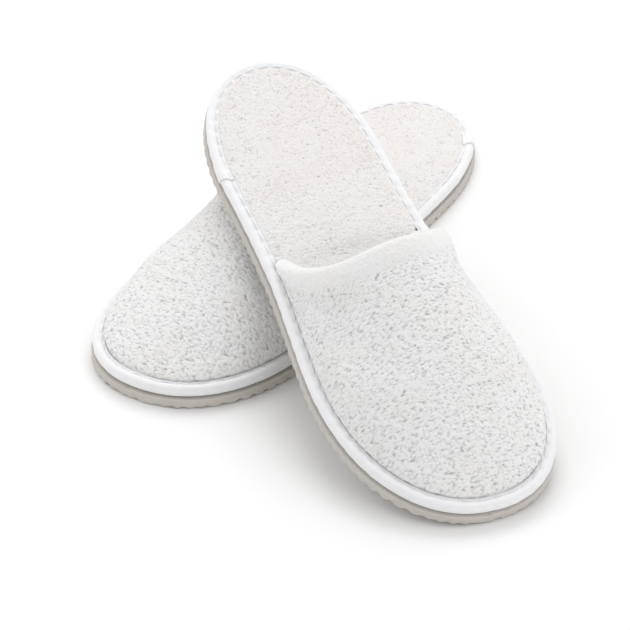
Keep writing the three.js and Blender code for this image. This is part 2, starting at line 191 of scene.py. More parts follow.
def sheet_normals(points: Array) -> Array:
    """Unit normals of a grid of points: rows' direction crossed with columns' direction."""
    down, across = np.gradient(points, axis=0), np.gradient(points, axis=1)
    normals = np.cross(down, across)
    return normals / np.maximum(np.linalg.norm(normals, axis=-1, keepdims=True), 1e-9)


def upward_normals(points: Array) -> Array:
    """Unit normals of a grid of points, on the side that faces up on the whole."""
    normals = sheet_normals(points)
    return normals * np.sign(normals[..., 2].sum())


def grid_quads(grid: Array) -> Array:
    """Quads between the neighbours in the last two axes of numbered points, shape (..., 4)."""
    a, b, c, d = (grid[..., r, k] for r, k in QUAD_CORNERS)
    return np.stack([a, b, c, d], axis=-1)


def sheet_area(points: Array) -> float:
    """Area of a grid of points, from the cross products of its cells' diagonals."""
    one = points[1:, 1:] - points[:-1, :-1]
    other = points[1:, :-1] - points[:-1, 1:]
    return float(np.linalg.norm(np.cross(one, other), axis=-1).sum() / 2.0)


# ---- Repeatable irregularity ------------------------------------------------------------


def scatter(cells: Array, seed: int) -> Array:
    """Three numbers from 0 to 1 for each whole-numbered cell, always the same for a seed.

    The cell's three numbers are mixed by multiplying, shifting and exclusive-or.

    Args:
        cells: integer cells, shape (..., 3).
        seed: picks one of many patterns.

    Returns:
        The numbers, shape (..., 3).
    """
    c = cells.astype(np.int64).astype(np.uint32)
    with np.errstate(over="ignore"):
        h = (
            c[..., 0] * np.uint32(73856093)
            ^ c[..., 1] * np.uint32(19349663)
            ^ c[..., 2] * np.uint32(83492791)
            ^ np.uint32(seed * 2654435 + 977)
        )
        h = (h ^ (h >> np.uint32(15))) * np.uint32(0x2C1B3C6D)
        h = (h ^ (h >> np.uint32(12))) * np.uint32(0x297A2D39)
        h = h ^ (h >> np.uint32(15))
    parts = [(h >> np.uint32(shift)) & np.uint32(1023) for shift in (0, 10, 20)]
    return np.stack(parts, axis=-1).astype(np.float32) / 1023.0


def drift(points: Array, size: float, seed: int) -> Array:
    """Smooth irregularity from -1 to 1, with lumps of about the given size.

    Each cell corner of a cubic lattice has a random value, and a point takes the mean of the
    eight around it, weighted by 3t^2 - 2t^3 along each axis.

    Args:
        points: places, shape (..., 3).
        size: edge of a lattice cell.
        seed: picks the pattern.

    Returns:
        One value per point.
    """
    at = np.asarray(points, float) / size
    base = np.floor(at)
    t = at - base
    t = t * t * (3.0 - 2.0 * t)
    total = np.zeros(at.shape[:-1])
    for corner in np.ndindex(2, 2, 2):
        share = np.prod(np.where(np.array(corner) == 1, t, 1.0 - t), axis=-1)
        total += share * scatter(base + np.array(corner), seed)[..., 0]
    return 2.0 * total - 1.0


@dataclass(frozen=True)
class Pile:
    """Relief of a terry pile: crowded loops, each a rounded tip with creases round it, which the
    colour darkens as painted shade.
    """

    pitch: float
    height: float
    across: float = 1.45  # how much longer a loop is across the foot than along it
    clumps: float = 0.5  # how much whole tufts of loops rise and fall together
    seed: int = 1

    def relief(self, points: Array) -> Array:
        """Height of the pile from 0 in a crease to 1 on a tip.

        One tip stands somewhere in every cell of a lattice. A point's height is 1 minus the
        squared distance to the nearest tip, scaled by that tip's own height, and lumps of
        a few loops' size are mixed in.

        Args:
            points: places in millimetres, shape (..., 3).

        Returns:
            One height per point.
        """
        bend = np.stack([drift(points, 5.0, self.seed + k) for k in (11, 12, 13)], axis=-1)
        stretch = np.array([1.0, self.across, self.across])
        at = (points + 0.6 * bend) / (self.pitch * stretch)
        base = np.floor(at)
        nearest = np.full(at.shape[:-1], 9.0)
        own = np.zeros(at.shape[:-1])
        for step in np.ndindex(3, 3, 3):
            cell = base + np.array(step) - 1.0
            random = scatter(cell, self.seed)
            away = np.sum((cell + 0.15 + 0.7 * random - at) ** 2, axis=-1)
            closer = away < nearest
            nearest = np.where(closer, away, nearest)
            own = np.where(closer, random[..., 2], own)
        loops = np.clip(1.0 - 1.25 * nearest, 0.0, 1.0) * (0.62 + 0.38 * own)
        tufts = 0.5 + 0.5 * drift(points, 2.6 * self.pitch, self.seed + 5)
        return np.clip(loops * (1.0 - self.clumps + self.clumps * 1.5 * tufts), 0.0, 1.0)


# ---- Shape of a slipper -------------------------------------------------------------------


@dataclass(frozen=True)
class Outline:
    """Plan outline of a slipper, over its edge binding."""

    length: float = 288.4
    heel_half_width: float = 41.7
    toe_half_width: float = 52.7
    heel_arc: float = 70.7
    toe_arc: float = 74.7
    waist: float = 3.1
    camber: float = 4.1
    roundness: float = 2.2

    def half_width(self, x: Array) -> Array:
        """Half the width at stations x: superelliptic ends joined by a drawn-in blend."""
        r = self.roundness
        heel_run = np.clip(1.0 - x / self.heel_arc, 0.0, 1.0)
        toe_start = self.length - self.toe_arc
        toe_run = np.clip((x - toe_start) / self.toe_arc, 0.0, 1.0)
        heel = self.heel_half_width * (1.0 - heel_run**r) ** (1.0 / r)
        toe = self.toe_half_width * (1.0 - toe_run**r) ** (1.0 / r)
        u = np.clip((x - self.heel_arc) / (toe_start - self.heel_arc), 0.0, 1.0)
        widen = (self.toe_half_width - self.heel_half_width) * (3.0 * u**2 - 2.0 * u**3)
        middle = self.heel_half_width + widen - self.waist * 16.0 * u**2 * (1.0 - u) ** 2
        return np.where(x < self.heel_arc, heel, np.where(x > toe_start, toe, middle))

    def centre_line(self, x: Array) -> Array:
        """Sideways place of the middle at stations x: a parabola that bows outwards."""
        return self.camber * 4.0 * (x / self.length) * (1.0 - x / self.length)

    def stations(self, steps: int) -> Array:
        """Stations from heel to toe, crowded towards both tips by a cosine."""
        quarter = np.linspace(0.0, math.pi / 2.0, steps)
        heel = self.heel_arc * (1.0 - np.cos(quarter))
        side = np.linspace(self.heel_arc, self.length - self.toe_arc, 2 * steps)
        toe = self.length - self.toe_arc + self.toe_arc * np.sin(quarter)
        return np.concatenate([heel, side[1:-1], toe])

    def ring(self) -> tuple[Array, Array]:
        """The closed outline, anticlockwise from the heel along the inner side.

        Returns:
            The points and their unit normals towards the inside, both of shape (n, 2).
        """
        x = self.stations(FINE)
        inner = np.stack([x, self.centre_line(x) - self.half_width(x)], axis=1)
        outer = np.stack([x, self.centre_line(x) + self.half_width(x)], axis=1)[1:-1]
        points = np.concatenate([inner, outer[::-1]])
        along = np.roll(points, -1, axis=0) - np.roll(points, 1, axis=0)
        along /= np.linalg.norm(along, axis=1, keepdims=True)
        return points, np.stack([-along[:, 1], along[:, 0]], axis=1)

    def perimeter(self) -> float:
        """Length round the outline."""
        points, _ = self.ring()
        return float(running_length(np.vstack([points, points[:1]]))[-1])

    def along(self, run: Array) -> tuple[Array, Array]:
        """Points of the outline, and normals towards the inside, at lengths run round it."""
        points, normals = self.ring()
        points = np.vstack([points, points[:1]])
        normals = np.vstack([normals, normals[:1]])
        length = running_length(points)
        at = np.mod(run, length[-1])
        inwards = at_lengths(at, length, normals)
        inwards /= np.linalg.norm(inwards, axis=-1, keepdims=True)
        return at_lengths(at, length, points), inwards

    def depth_inside(self, x: Array, y: Array) -> Array:
        """Distance from each point of the plan to the outline."""
        samples, batch = 560, 4000
        edge, _ = self.along(np.linspace(0.0, self.perimeter(), samples, endpoint=False))
        flat = np.stack([x.ravel(), y.ravel()], axis=1).astype(np.float32)
        squared = [
            ((part[:, None, :] - edge[None].astype(np.float32)) ** 2).sum(-1).min(1)
            for part in np.array_split(flat, max(1, len(flat) // batch))
        ]
        return np.sqrt(np.concatenate(squared)).reshape(x.shape)


@dataclass
class Edge:
    """The outline moved inwards, as two sides that are functions of x."""

    outline: Outline
    inset: float
    inner: Array = field(init=False)
    outer: Array = field(init=False)
    heel: float = field(init=False)
    tip: float = field(init=False)

    def __post_init__(self) -> None:
        """Splits the moved outline at the heel and the toe."""
        points, normals = self.outline.ring()
        moved = points + self.inset * normals
        toe = len(points) // 2
        self.inner = moved[: toe + 1]
        self.outer = np.vstack([moved[:1], moved[toe:][::-1]])
        self.heel, self.tip = float(moved[0, 0]), float(moved[toe, 0])

    def sides(self, x: Array) -> tuple[Array, Array]:
        """Sideways places of the inner and the outer side at stations x."""
        return (
            np.interp(x, self.inner[:, 0], self.inner[:, 1]),
            np.interp(x, self.outer[:, 0], self.outer[:, 1]),
        )

    def middle(self, x: Array) -> Array:
        """Sideways place midway between the sides."""
        low, high = self.sides(x)
        return (low + high) / 2.0

    def half(self, x: Array) -> Array:
        """Half the width between the sides."""
        low, high = self.sides(x)
        return (high - low) / 2.0

    def grid(self, clear: float, stations: Array, columns: Array) -> Array:
        """A flat grid of points between the sides, at height 0.

        Args:
            clear: distance that the grid keeps from both tips.
            stations: shares of the length, one per row.
            columns: shares of the half width, one per column.

        Returns:
            The points, shape (rows, columns, 3).
        """
        x = self.heel + clear + (self.tip - self.heel - 2.0 * clear) * stations
        y = self.middle(x)[:, None] + self.half(x)[:, None] * columns[None, :]
        return np.stack(np.broadcast_arrays(x[:, None], y, np.zeros_like(y)), axis=-1)


@dataclass(frozen=True)
class VampShape:
    """Sizes of the closed upper over the toes."""

    height: float = 52.0
    toe_to_crown: float = 122.2
    toe_to_outer_end: float = 167.2
    toe_to_inner_end: float = 162.2
    outer_sweep: float = 1.7
    inner_sweep: float = 1.15
    rise: float = 0.73
    arch: float = 1.86
    lean: float = 3.0

    def opening(self, outline: Outline, phi: Array) -> Array:
        """Station of the opening's edge at angle phi: back by a power of 1 - sin phi."""
        outer = phi > math.pi / 2.0
        end = np.where(outer, self.toe_to_outer_end, self.toe_to_inner_end)
        sweep = np.where(outer, self.outer_sweep, self.inner_sweep)
        back = np.clip(1.0 - np.sin(phi), 0.0, 1.0) ** sweep
        return outline.length - self.toe_to_crown - (end - self.toe_to_crown) * back


@dataclass
class Dome:
    """The vamp's surface at one depth below its outer face."""

    outline: Outline
    shape: VampShape
    depth: float
    edge: Edge = field(init=False)
    crown: float = field(init=False)

    def __post_init__(self) -> None:
        """Finds the seam line under this surface and the station of the crown."""
        self.edge = Edge(self.outline, Inset.SEAM + self.depth)
        self.crown = self.outline.length - self.shape.toe_to_crown

    def share(self, x: Array) -> Array:
        """How far back from the toe station x is, 1 at the crown."""
        return np.clip((self.edge.tip - x) / (self.edge.tip - self.crown), 0.0, None)

    def height(self, x: Array) -> Array:
        """Height of the ridge over the seam: the crown's, times a power of the share."""
        return (self.shape.height - self.depth) * self.share(x) ** self.shape.rise

    def start(self, base: float) -> float:
        """Station where the ridge stands at height base."""
        share = (base - Level.FLANGE_BOTTOM) / (self.shape.height - self.depth)
        return self.edge.tip - share ** (1.0 / self.shape.rise) * (self.edge.tip - self.crown)

    def angle_at(self, x: Array, base: float) -> Array:
        """Angle at which the surface stands at height base over station x."""
        share = (base - Level.FLANGE_BOTTOM) / np.maximum(self.height(x), 1e-6)
        return np.arcsin(np.clip(share, 0.0, 1.0) ** (self.shape.arch / 2.0))

    def point(self, x: Array, phi: Array) -> Array:
        """Points of the dome: a superellipse across the foot that leans to the inner side."""
        c, s = np.cos(phi), np.clip(np.sin(phi), 0.0, None)
        across = np.sign(c) * np.abs(c) ** (2.0 / self.shape.arch) * self.edge.half(x)
        lean = self.shape.lean * np.minimum(self.share(x), 1.0) * s * s
        y = self.edge.middle(x) - across - lean
        z = Level.FLANGE_BOTTOM + self.height(x) * s ** (2.0 / self.shape.arch)
        return np.stack(np.broadcast_arrays(x, y, z), axis=-1)

    def sheet(
        self, base: float, along: Array, over: Array, setback: float = 0.0
    ) -> tuple[Array, Array]:
        """A grid from the toe to the opening and from the inner side to the outer side.

        Station and angle depend on each other, so they are settled in a few rounds.

        Args:
            base: height of the sheet's lower edge.
            along: shares of the way from the toe to the opening, one per row.
            over: shares of the way over the arch, one per column.
            setback: how far the sheet stops short of the opening's edge.

        Returns:
            The points, shape (rows, columns, 3), and how far each is from the opening.
        """
        along, over = along[:, None], over[None, :]
        start, rounds = self.start(base), 8
        phi = math.pi * over + 0.0 * along
        for _ in range(rounds):
            opening = self.shape.opening(self.outline, phi) + setback
            x = start - (start - opening) * along
            low = self.angle_at(x, base)
            phi = low + (math.pi - 2.0 * low) * over
        return self.point(x, phi), x - self.shape.opening(self.outline, phi)


# ---- Putting a mesh together --------------------------------------------------------------


@dataclass
class Placement:
    """Carries a slipper's flat frame to the shared frame, as its packed outsole lies."""

    prefix: str
    hand: Hand
    heading: float
    outline: Outline
    level_enough: float = 0.002  # a smaller pitch, in radians, counts as none
    turn: Array = field(init=False)
    shift: Array = field(init=False)

    def __post_init__(self) -> None:
        """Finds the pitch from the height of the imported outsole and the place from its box."""
        low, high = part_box(f"{self.prefix}_outsole")
        reach = self.outline.length - 2.0 * Inset.OUTSOLE
        tall = (high.z - low.z) / MM
        far = math.hypot(reach, Level.OUTSOLE_TOP)
        lift = math.atan2(Level.OUTSOLE_TOP, reach)
        pitch = math.asin(min(1.0, tall / far)) - lift
        if abs(pitch) < self.level_enough:
            pitch = 0.0
        cp, sp = math.cos(pitch), math.sin(pitch)
        ch, sh = math.cos(self.heading), math.sin(self.heading)
        tilt = np.array([[cp, 0.0, sp], [0.0, 1.0, 0.0], [-sp, 0.0, cp]])
        self.turn = np.array([[ch, -sh, 0.0], [sh, ch, 0.0], [0.0, 0.0, 1.0]]) @ tilt
        self.shift = np.zeros(3)
        points, normals = self.outline.ring()
        edge = points + Inset.OUTSOLE * normals
        levels = [np.full(len(edge), z) for z in (0.0, Level.OUTSOLE_TOP)]
        rim = np.vstack([np.column_stack([edge, z]) for z in levels])
        self.shift = np.array(low) - self.place(rim).min(axis=0)

    def place(self, points: Array) -> Array:
        """Points of the flat frame, in millimetres, as points of the shared frame, in metres."""
        mirrored = np.asarray(points, float) * np.array([1.0, self.hand.value, 1.0])
        return mirrored @ self.turn.T * MM + self.shift


@dataclass
class Blank:
    """Corners and faces of one closed piece while it is put together."""

    corners: list[Array] = field(default_factory=list)
    quads: list[Array] = field(default_factory=list)
    triangles: list[Array] = field(default_factory=list)
    count: int = 0

    def add(self, points: Array) -> Array:
        """Adds points and returns their numbers in the same layout."""
        flat = np.asarray(points, float).reshape(-1, 3)
        numbers = np.arange(self.count, self.count + len(flat)).reshape(points.shape[:-1])
        self.corners.append(flat)
        self.count += len(flat)
        return numbers

    def patch(self, grid: Array, turned: bool = False) -> None:
        """Fills a grid of numbers with quads; turned ones face the other way."""
        quads = grid_quads(grid).reshape(-1, 4)
        self.quads.append(quads[:, [0, 3, 2, 1]] if turned else quads)

    def band(self, first: Array, second: Array) -> None:
        """Joins two closed loops of equal count with quads."""
        a, b = first, np.roll(first, -1)
        c, d = np.roll(second, -1), second
        self.quads.append(np.stack([a, b, c, d], axis=-1))

    def thin_band(self, fine: Array, coarse: Array, at: Array) -> None:
        """Joins a fine closed loop to a coarse one.

        Args:
            fine: numbers of the fine loop.
            coarse: numbers of the coarse loop.
            at: place in the fine loop that each coarse number stands opposite.
        """
        k = np.arange(len(fine))
        own = np.searchsorted(at, k, side="right") - 1
        following = (k + 1) % len(fine)
        self.triangles.append(np.stack([fine, fine[following], coarse[own]], axis=-1))
        steps = np.roll(own, -1) != own
        last, nxt = own[steps], (own[steps] + 1) % len(coarse)
        self.triangles.append(
            np.stack([fine[following][steps], coarse[nxt], coarse[last]], axis=-1)
        )

    @staticmethod
    def rim(grid: Array) -> Array:
        """The closed loop of entries round a grid, from its first corner along row 0."""
        return np.concatenate([grid[0], grid[1:, -1], grid[-1, -2::-1], grid[-2:0:-1, 0]])

    def skin(
        self,
        outer: Array,
        inner: Array,
        rows: Array,
        columns: Array,
        between: list[Array] | None = None,
    ) -> None:
        """A closed skin: a fine outer grid, a coarser inner one and what joins their rims.

        Args:
            outer: points of the outer grid.
            inner: points of the inner grid, one for each of rows and columns.
            rows: the outer grid's rows that the inner grid has too.
            columns: the outer grid's columns that the inner grid has too.
            between: loops of points, one per rim point of the outer grid, passed on the way.
        """
        outside, inside = self.add(outer), self.add(inner)
        self.patch(outside)
        self.patch(inside, turned=True)
        loop = self.rim(outside)
        for points in between or []:
            following = self.add(points)
            self.band(loop, following)
            loop = following
        places = np.arange(outside.size).reshape(outside.shape)
        order = {number: place for place, number in enumerate(self.rim(places).tolist())}
        kept = self.rim(places[np.ix_(rows, columns)])
        at = np.array([order[number] for number in kept.tolist()])
        self.thin_band(loop, self.rim(inside), at)

    def tube(self, rings: Array) -> None:
        """A closed tube of closed rings, joined last to first; shape (rings, corners, 3)."""
        grid = self.add(rings)
        grid = np.vstack([grid, grid[:1]])
        grid = np.hstack([grid, grid[:, :1]])
        self.patch(grid)

    def rods(self, rings: Array) -> None:
        """Many short rods at once: shape (rods, rings, corners, 3), closed by end faces."""
        grid = self.add(rings)
        self.patch(np.concatenate([grid, grid[:, :, :1]], axis=2))
        fan = np.arange(1, grid.shape[2] - 1)
        for end, turned in ((0, True), (-1, False)):
            face = grid[:, end]
            hub = np.repeat(face[:, :1], len(fan), axis=1)
            order = (hub, face[:, fan], face[:, fan + 1])
            tri = np.stack(order[::-1] if turned else order, axis=-1).reshape(-1, 3)
            self.triangles.append(tri)

    def volume(self) -> float:
        """Signed volume, positive when the faces point outwards."""
        points = np.concatenate(self.corners)
        tri = [np.zeros((0, 3), int), *self.triangles]
        for quad in self.quads:
            tri += [quad[:, [0, 1, 2]], quad[:, [0, 2, 3]]]
        a, b, c = (points[np.concatenate(tri)[:, k]] for k in range(3))
        return float((a * np.cross(b, c)).sum() / 6.0)

    def piece(
        self,
        name: str,
        placement: Placement,
        marks: dict[str, Array] | None = None,
    ) -> Piece:
        """Makes the Blender object.

        Args:
            name: the object's name.
            placement: carries the corners to the shared frame.
            marks: values to store per corner; missing corners at the end take 1.

        Returns:
            The object, at the origin, with smooth faces that point outwards.
        """
        turned = self.volume() < 0.0
        if placement.hand is Hand.RIGHT:
            turned = not turned
        points = placement.place(np.concatenate(self.corners))
        faces: list[list[int]] = []
        for part in (*self.quads, *self.triangles):
            faces += (part[:, ::-1] if turned else part).tolist()
        mesh = bpy.data.meshes.new(name)
        mesh.from_pydata(points.tolist(), [], faces)
        mesh.polygons.foreach_set("use_smooth", np.ones(len(faces), bool))
        for label, values in (marks or {}).items():
            full = np.ones(len(points), np.float32)
            full[: values.size] = values.ravel()
            mesh.attributes.new(label, "FLOAT", "POINT").data.foreach_set("value", full)
        flat = (np.concatenate(self.corners) * MM).astype(np.float32)
        mesh.attributes.new("flat_place", "FLOAT_VECTOR", "POINT").data.foreach_set(
            "vector", flat.ravel()
        )
        mesh.update()
        made = bpy.data.objects.new(name, mesh)
        bpy.context.scene.collection.objects.link(made)
        return made


# ---- Finishes -----------------------------------------------------------------------------


@dataclass(frozen=True)
class Wire:
    """A number that varies over a surface; expressions on it add Math nodes."""

    graph: "Graph"
    socket: bpy.types.NodeSocket

    def _math(self, operation: str, *values: "Wire | Number") -> "Wire":
        """One Math node on the given values."""
        return self.graph.node("ShaderNodeMath", {"operation": operation}, dict(enumerate(values)))

    def __add__(self, other: "Wire | Number") -> "Wire":
        """Sum."""
        return self._math("ADD", self, other)

    __radd__ = __add__

    def __sub__(self, other: "Wire | Number") -> "Wire":
        """Difference."""
        return self._math("SUBTRACT", self, other)

    def __rsub__(self, other: Number) -> "Wire":
        """Difference from a plain number."""
        return self._math("SUBTRACT", other, self)

    def __mul__(self, other: "Wire | Number") -> "Wire":
        """Product."""
        return self._math("MULTIPLY", self, other)

    __rmul__ = __mul__

    def sine(self) -> "Wire":
        """Sine."""
        return self._math("SINE", self)


class Graph:
    """Node tree of one material, with its Principled shader."""

    def __init__(self, name: str) -> None:
        """Makes an empty material with a Principled shader joined to its output."""
        self.material = bpy.data.materials.new(name)
        self.material.use_nodes = True
        self.nodes = self.material.node_tree.nodes
        self.links = self.material.node_tree.links
        self.nodes.clear()
        self.shader = self.nodes.new("ShaderNodeBsdfPrincipled")
        output = self.nodes.new("ShaderNodeOutputMaterial")
        self.links.new(self.shader.outputs["BSDF"], output.inputs["Surface"])

    def node(
        self,
        kind: str,
        settings: dict[str, object] | None = None,
        inputs: dict[str | int, object] | None = None,
        output: str | int = 0,
    ) -> Wire:
        """Adds a node.

        Args:
            kind: Blender's name of the node type.
            settings: properties set first.
            inputs: values or wires for its sockets, by name or number.
            output: the socket whose wire is returned.

        Returns:
            The wire of that output.
        """
        made = self.nodes.new(kind)
        for key, value in (settings or {}).items():
            setattr(made, key, value)
        for key, value in (inputs or {}).items():
            self.feed(made.inputs[key], value)
        return Wire(self, made.outputs[output])

    def feed(self, socket: bpy.types.NodeSocket, value: object) -> None:
        """Links a wire to a socket or sets the socket's own value."""
        if isinstance(value, Wire):
            self.links.new(value.socket, socket)
        else:
            socket.default_value = value

    def ramp(self, factor: Wire, *stops: tuple[float, float]) -> Wire:
        """A grey between two stops, each a place along the factor and a level."""
        made = self.nodes.new("ShaderNodeValToRGB")
        for element, (place, level) in zip(made.color_ramp.elements, stops):
            element.position = place
            element.color = (level, level, level, 1.0)
        self.feed(made.inputs["Fac"], factor)
        return Wire(self, made.outputs[0])

    def object_place(self) -> Wire:
        """The place on the piece, in metres."""
        return self.node("ShaderNodeTexCoord", output="Object")

    def flat_place(self, stretch: Triple) -> Wire:
        """The place in the slipper's flat frame, with each axis drawn out by its stretch."""
        place = self.node(
            "ShaderNodeAttribute", {"attribute_name": "flat_place"}, output="Vector"
        )
        shares = tuple(1.0 / s for s in stretch)
        return self.node(
            "ShaderNodeVectorMath", {"operation": "MULTIPLY"}, {0: place, 1: shares}
        )

    def mark(self, name: str) -> Wire:
        """A value stored on the piece's corners."""
        return self.node("ShaderNodeAttribute", {"attribute_name": name}, output="Fac")

    def noise(self, place: Wire, size_mm: float, detail: float = 2.0) -> Wire:
        """Smooth noise with lumps of about size_mm."""
        return self.node(
            "ShaderNodeTexNoise", None,
            {"Vector": place, "Scale": 1.0 / (size_mm * MM), "Detail": detail},
        )

    def cells(self, place: Wire, size_mm: float) -> Wire:
        """Distance to the nearest of many scattered points, about size_mm apart."""
        return self.node(
            "ShaderNodeTexVoronoi", {"feature": "F1"},
            {"Vector": place, "Scale": 1.0 / (size_mm * MM)}, output="Distance",
        )

    def mix(self, factor: Wire, low: tuple, high: object) -> Wire:
        """A colour between low and high."""
        made = self.nodes.new("ShaderNodeMix")
        made.data_type = "RGBA"
        colours = [s for s in made.inputs if s.type == "RGBA"]
        self.feed(made.inputs["Factor"], factor)
        for socket, value in zip(colours, (low, high)):
            self.feed(socket, value if isinstance(value, Wire) else (*value, 1.0))
        return Wire(self, next(s for s in made.outputs if s.type == "RGBA"))

    def bump(
        self, height: Wire, depth_mm: float, strength: float, under: Wire | None = None
    ) -> Wire:
        """A normal tilted by a height that is worth depth_mm."""
        inputs = {"Height": height, "Distance": depth_mm * MM, "Strength": strength}
        if under is not None:
            inputs["Normal"] = under
        return self.node("ShaderNodeBump", None, inputs, output="Normal")

    def dress(self, **inputs: object) -> Material:
        """Feeds the Principled shader's sockets, by name with _ for a space."""
        for key, value in inputs.items():
            self.feed(self.shader.inputs[key.replace("_", " ")], value)
        return self.material


@dataclass(frozen=True)
class TerryFinish:
    """Cotton loops, white on their tips and shaded in the creases between them."""

    name: str
    tip: Triple
    # crease: colour of the low places between loops, painted shade rather than the cotton's own
    # colour
    crease: Triple
    warm: Triple
    warmth: float = 0.5
    comb: float = 2.4  # how much longer a loop's shadow is across the foot than along it
    loop_mm: float = 0.75
    contrast: tuple[float, float] = (0.3, 0.72)
    pit_mm: float = 2.0  # how far apart the deeper gaps between loops are
    depth_mm: float = 0.5

    def make(self) -> Material:
        """Colour and bump from combed streaks, fine loops, pits and the stored pile relief; the
        low places take the crease colour as painted shade.
        """
        g = Graph(self.name)
        even = g.flat_place((1.0, 1.0, 1.0))
        combed = g.flat_place((1.0, self.comb, self.comb))
        patches = g.ramp(g.noise(even, 24.0), (0.4, 0.0), (0.62, 1.0))
        streaks = g.noise(combed, self.loop_mm * 0.9, 4.0)
        loops = 1.0 - g.cells(combed, self.loop_mm * 1.25)
        pits = g.ramp(g.cells(combed, self.pit_mm), (0.08, 1.0), (0.26, 0.0))
        height = g.mark("pile") * 0.3 + streaks * 0.55 + loops * 0.25 - pits * 0.13
        # Painted shade: the low places of the relief, the creases and pits between loops, take the
        # crease colour.
        shade = g.ramp(height, (self.contrast[0], 0.0), (self.contrast[1], 1.0))
        tips = g.mix(patches * self.warmth, self.tip, self.warm)
        normal = g.bump(height, self.depth_mm, 0.7)
        return g.dress(
            Base_Color=g.mix(shade, self.crease, tips), Roughness=0.95, Normal=normal,
            Sheen_Weight=0.5, Sheen_Roughness=0.5, Specular_IOR_Level=0.15,
        )


@dataclass(frozen=True)
class TapeFinish:
    """Smooth woven tape with a fine rib across it."""

    name: str = "woven_tape"
    colour: Triple = (0.92, 0.92, 0.93)
    shade: Triple = (0.83, 0.83, 0.845)
    threads: float = 15.7  # radians of the weave per millimetre

    def make(self) -> Material:
        """Plain weave from two crossed waves along the stored lengths."""
        g = Graph(self.name)
        place = g.object_place()
        warp, weft = ((g.mark(way) * self.threads).sine() for way in ("along", "across"))
        weave = 0.5 + 0.25 * warp + 0.25 * weft
        cloudy = g.noise(place, 5.0)
        colour = g.mix(weave * 0.35 + cloudy * 0.65, self.shade, self.colour)
        normal = g.bump(weave, 0.06, 0.5)
        normal = g.bump(cloudy, 0.5, 0.25, normal)
        return g.dress(
            Base_Color=colour, Roughness=0.62 + 0.12 * cloudy, Normal=normal,
            Sheen_Weight=0.12, Specular_IOR_Level=0.35,
        )


@dataclass(frozen=True)
class ThreadFinish:
    """Twisted sewing thread."""

    name: str = "sewing_thread"
    colour: Triple = (0.93, 0.93, 0.945)
    shade: Triple = (0.7, 0.71, 0.74)
    twist: float = 9.0  # radians of the plies per millimetre

    def make(self) -> Material:
        """Slanting plies drawn by a wave along the thread."""
        g = Graph(self.name)
        ply = 0.5 + 0.5 * (g.mark("along") * self.twist).sine()
        colour = g.mix(ply * 0.6 + 0.4, self.shade, self.colour)
        return g.dress(
            Base_Color=colour, Roughness=0.5, Normal=g.bump(ply, 0.12, 0.7),
            Specular_IOR_Level=0.4,
        )


@dataclass(frozen=True)
class PlainFinish:
    """A matt material with grain of one size: foam, lining or card."""

    name: str
    colour: Triple
    shade: Triple
    grain_mm: float
    depth_mm: float
    roughness: float = 0.9

    def make(self) -> Material:
        """Pores or fibres from scattered cells mixed with finer noise."""
        g = Graph(self.name)
        place = g.object_place()
        cells = g.cells(place, self.grain_mm)
        grain = cells * 0.7 + 0.3 * g.noise(place, self.grain_mm * 0.4, 3.0)
        return g.dress(
            Base_Color=g.mix(grain, self.shade, self.colour), Roughness=self.roughness,
            Normal=g.bump(grain, self.depth_mm, 0.6), Specular_IOR_Level=0.25,
        )


@dataclass(frozen=True)
class FoamSoleFinish:
    """Closed-cell foam rubber of the outsole, with fine pores, a painted highlight along the top
    edge of its wall and a paler bottom edge.
    """

    name: str = "foam_rubber"
    colour: Triple = (0.66, 0.63, 0.58)
    shade: Triple = (0.48, 0.455, 0.415)

    def make(self) -> Material:
        """Mottled greige, paler where the stored value is high: painted highlight below the wall's
        top edge, and paler towards its bottom edge.
        """
        g = Graph(self.name)
        place = g.object_place()
        mottle = g.noise(place, 9.0, 3.0)
        pores = g.cells(place, 0.8)
        # This mark paints a highlight along the wall's top edge and pales the wall towards its
        # bottom edge.
        wear = g.mark("wear")
        tone = mottle * 0.45 + pores * 0.25 + wear * 0.45
        normal = g.bump(pores, 0.12, 0.5)
        normal = g.bump(g.noise(place, 2.2, 3.0), 0.2, 0.35, normal)
        return g.dress(
            Base_Color=g.mix(tone, self.shade, self.colour),
            Roughness=0.72 + 0.12 * mottle, Normal=normal, Specular_IOR_Level=0.3,
        )


@dataclass(frozen=True)
class FloorFinish:
    """Pale seamless studio surface with a barely visible tooth."""

    name: str = "studio_floor"
    colour: Triple = (0.95, 0.95, 0.95)

    def make(self) -> Material:
        """Almost even white."""
        g = Graph(self.name)
        tooth = g.noise(g.object_place(), 60.0)
        pale = tuple(0.995 * c for c in self.colour)
        return g.dress(
            Base_Color=g.mix(tooth, pale, self.colour), Roughness=0.85,
            Specular_IOR_Level=0.1,
        )


@dataclass
class Wardrobe:
    """Every finish, made once and shared by both slippers."""

    made: dict[str, Material] = field(default_factory=dict)

    def wear(self, piece: Piece, finish: object) -> None:
        """Gives a piece a finish, making its material the first time."""
        if finish.name not in self.made:
            self.made[finish.name] = finish.make()
        piece.data.materials.clear()
        piece.data.materials.append(self.made[finish.name])


# The crease colours below are painted shade for the creases and pits between loops.
VAMP_TERRY = TerryFinish(
    "vamp_terry", tip=(0.87, 0.87, 0.87), crease=(0.38, 0.38, 0.384),
    warm=(0.87, 0.85, 0.832), warmth=0.5, loop_mm=0.72, contrast=(0.26, 0.54),
    pit_mm=1.5, depth_mm=0.9,
)
INSOLE_TERRY = TerryFinish(
    "insole_terry", tip=(0.82, 0.81, 0.805), crease=(0.36, 0.345, 0.335),
    warm=(0.82, 0.775, 0.74), warmth=0.7, comb=1.4, loop_mm=0.66, contrast=(0.18, 0.5),
    pit_mm=2.2,
)
LINING = PlainFinish("brushed_lining", (0.86, 0.86, 0.85), (0.72, 0.72, 0.71), 0.7, 0.1)
FOAM = PlainFinish("soft_foam", (0.84, 0.83, 0.77), (0.66, 0.65, 0.58), 1.1, 0.3)
CARD = PlainFinish("grey_card", (0.72, 0.70, 0.66), (0.58, 0.56, 0.52), 1.8, 0.08)


# ---- Sub-assemblies -------------------------------------------------------------------------


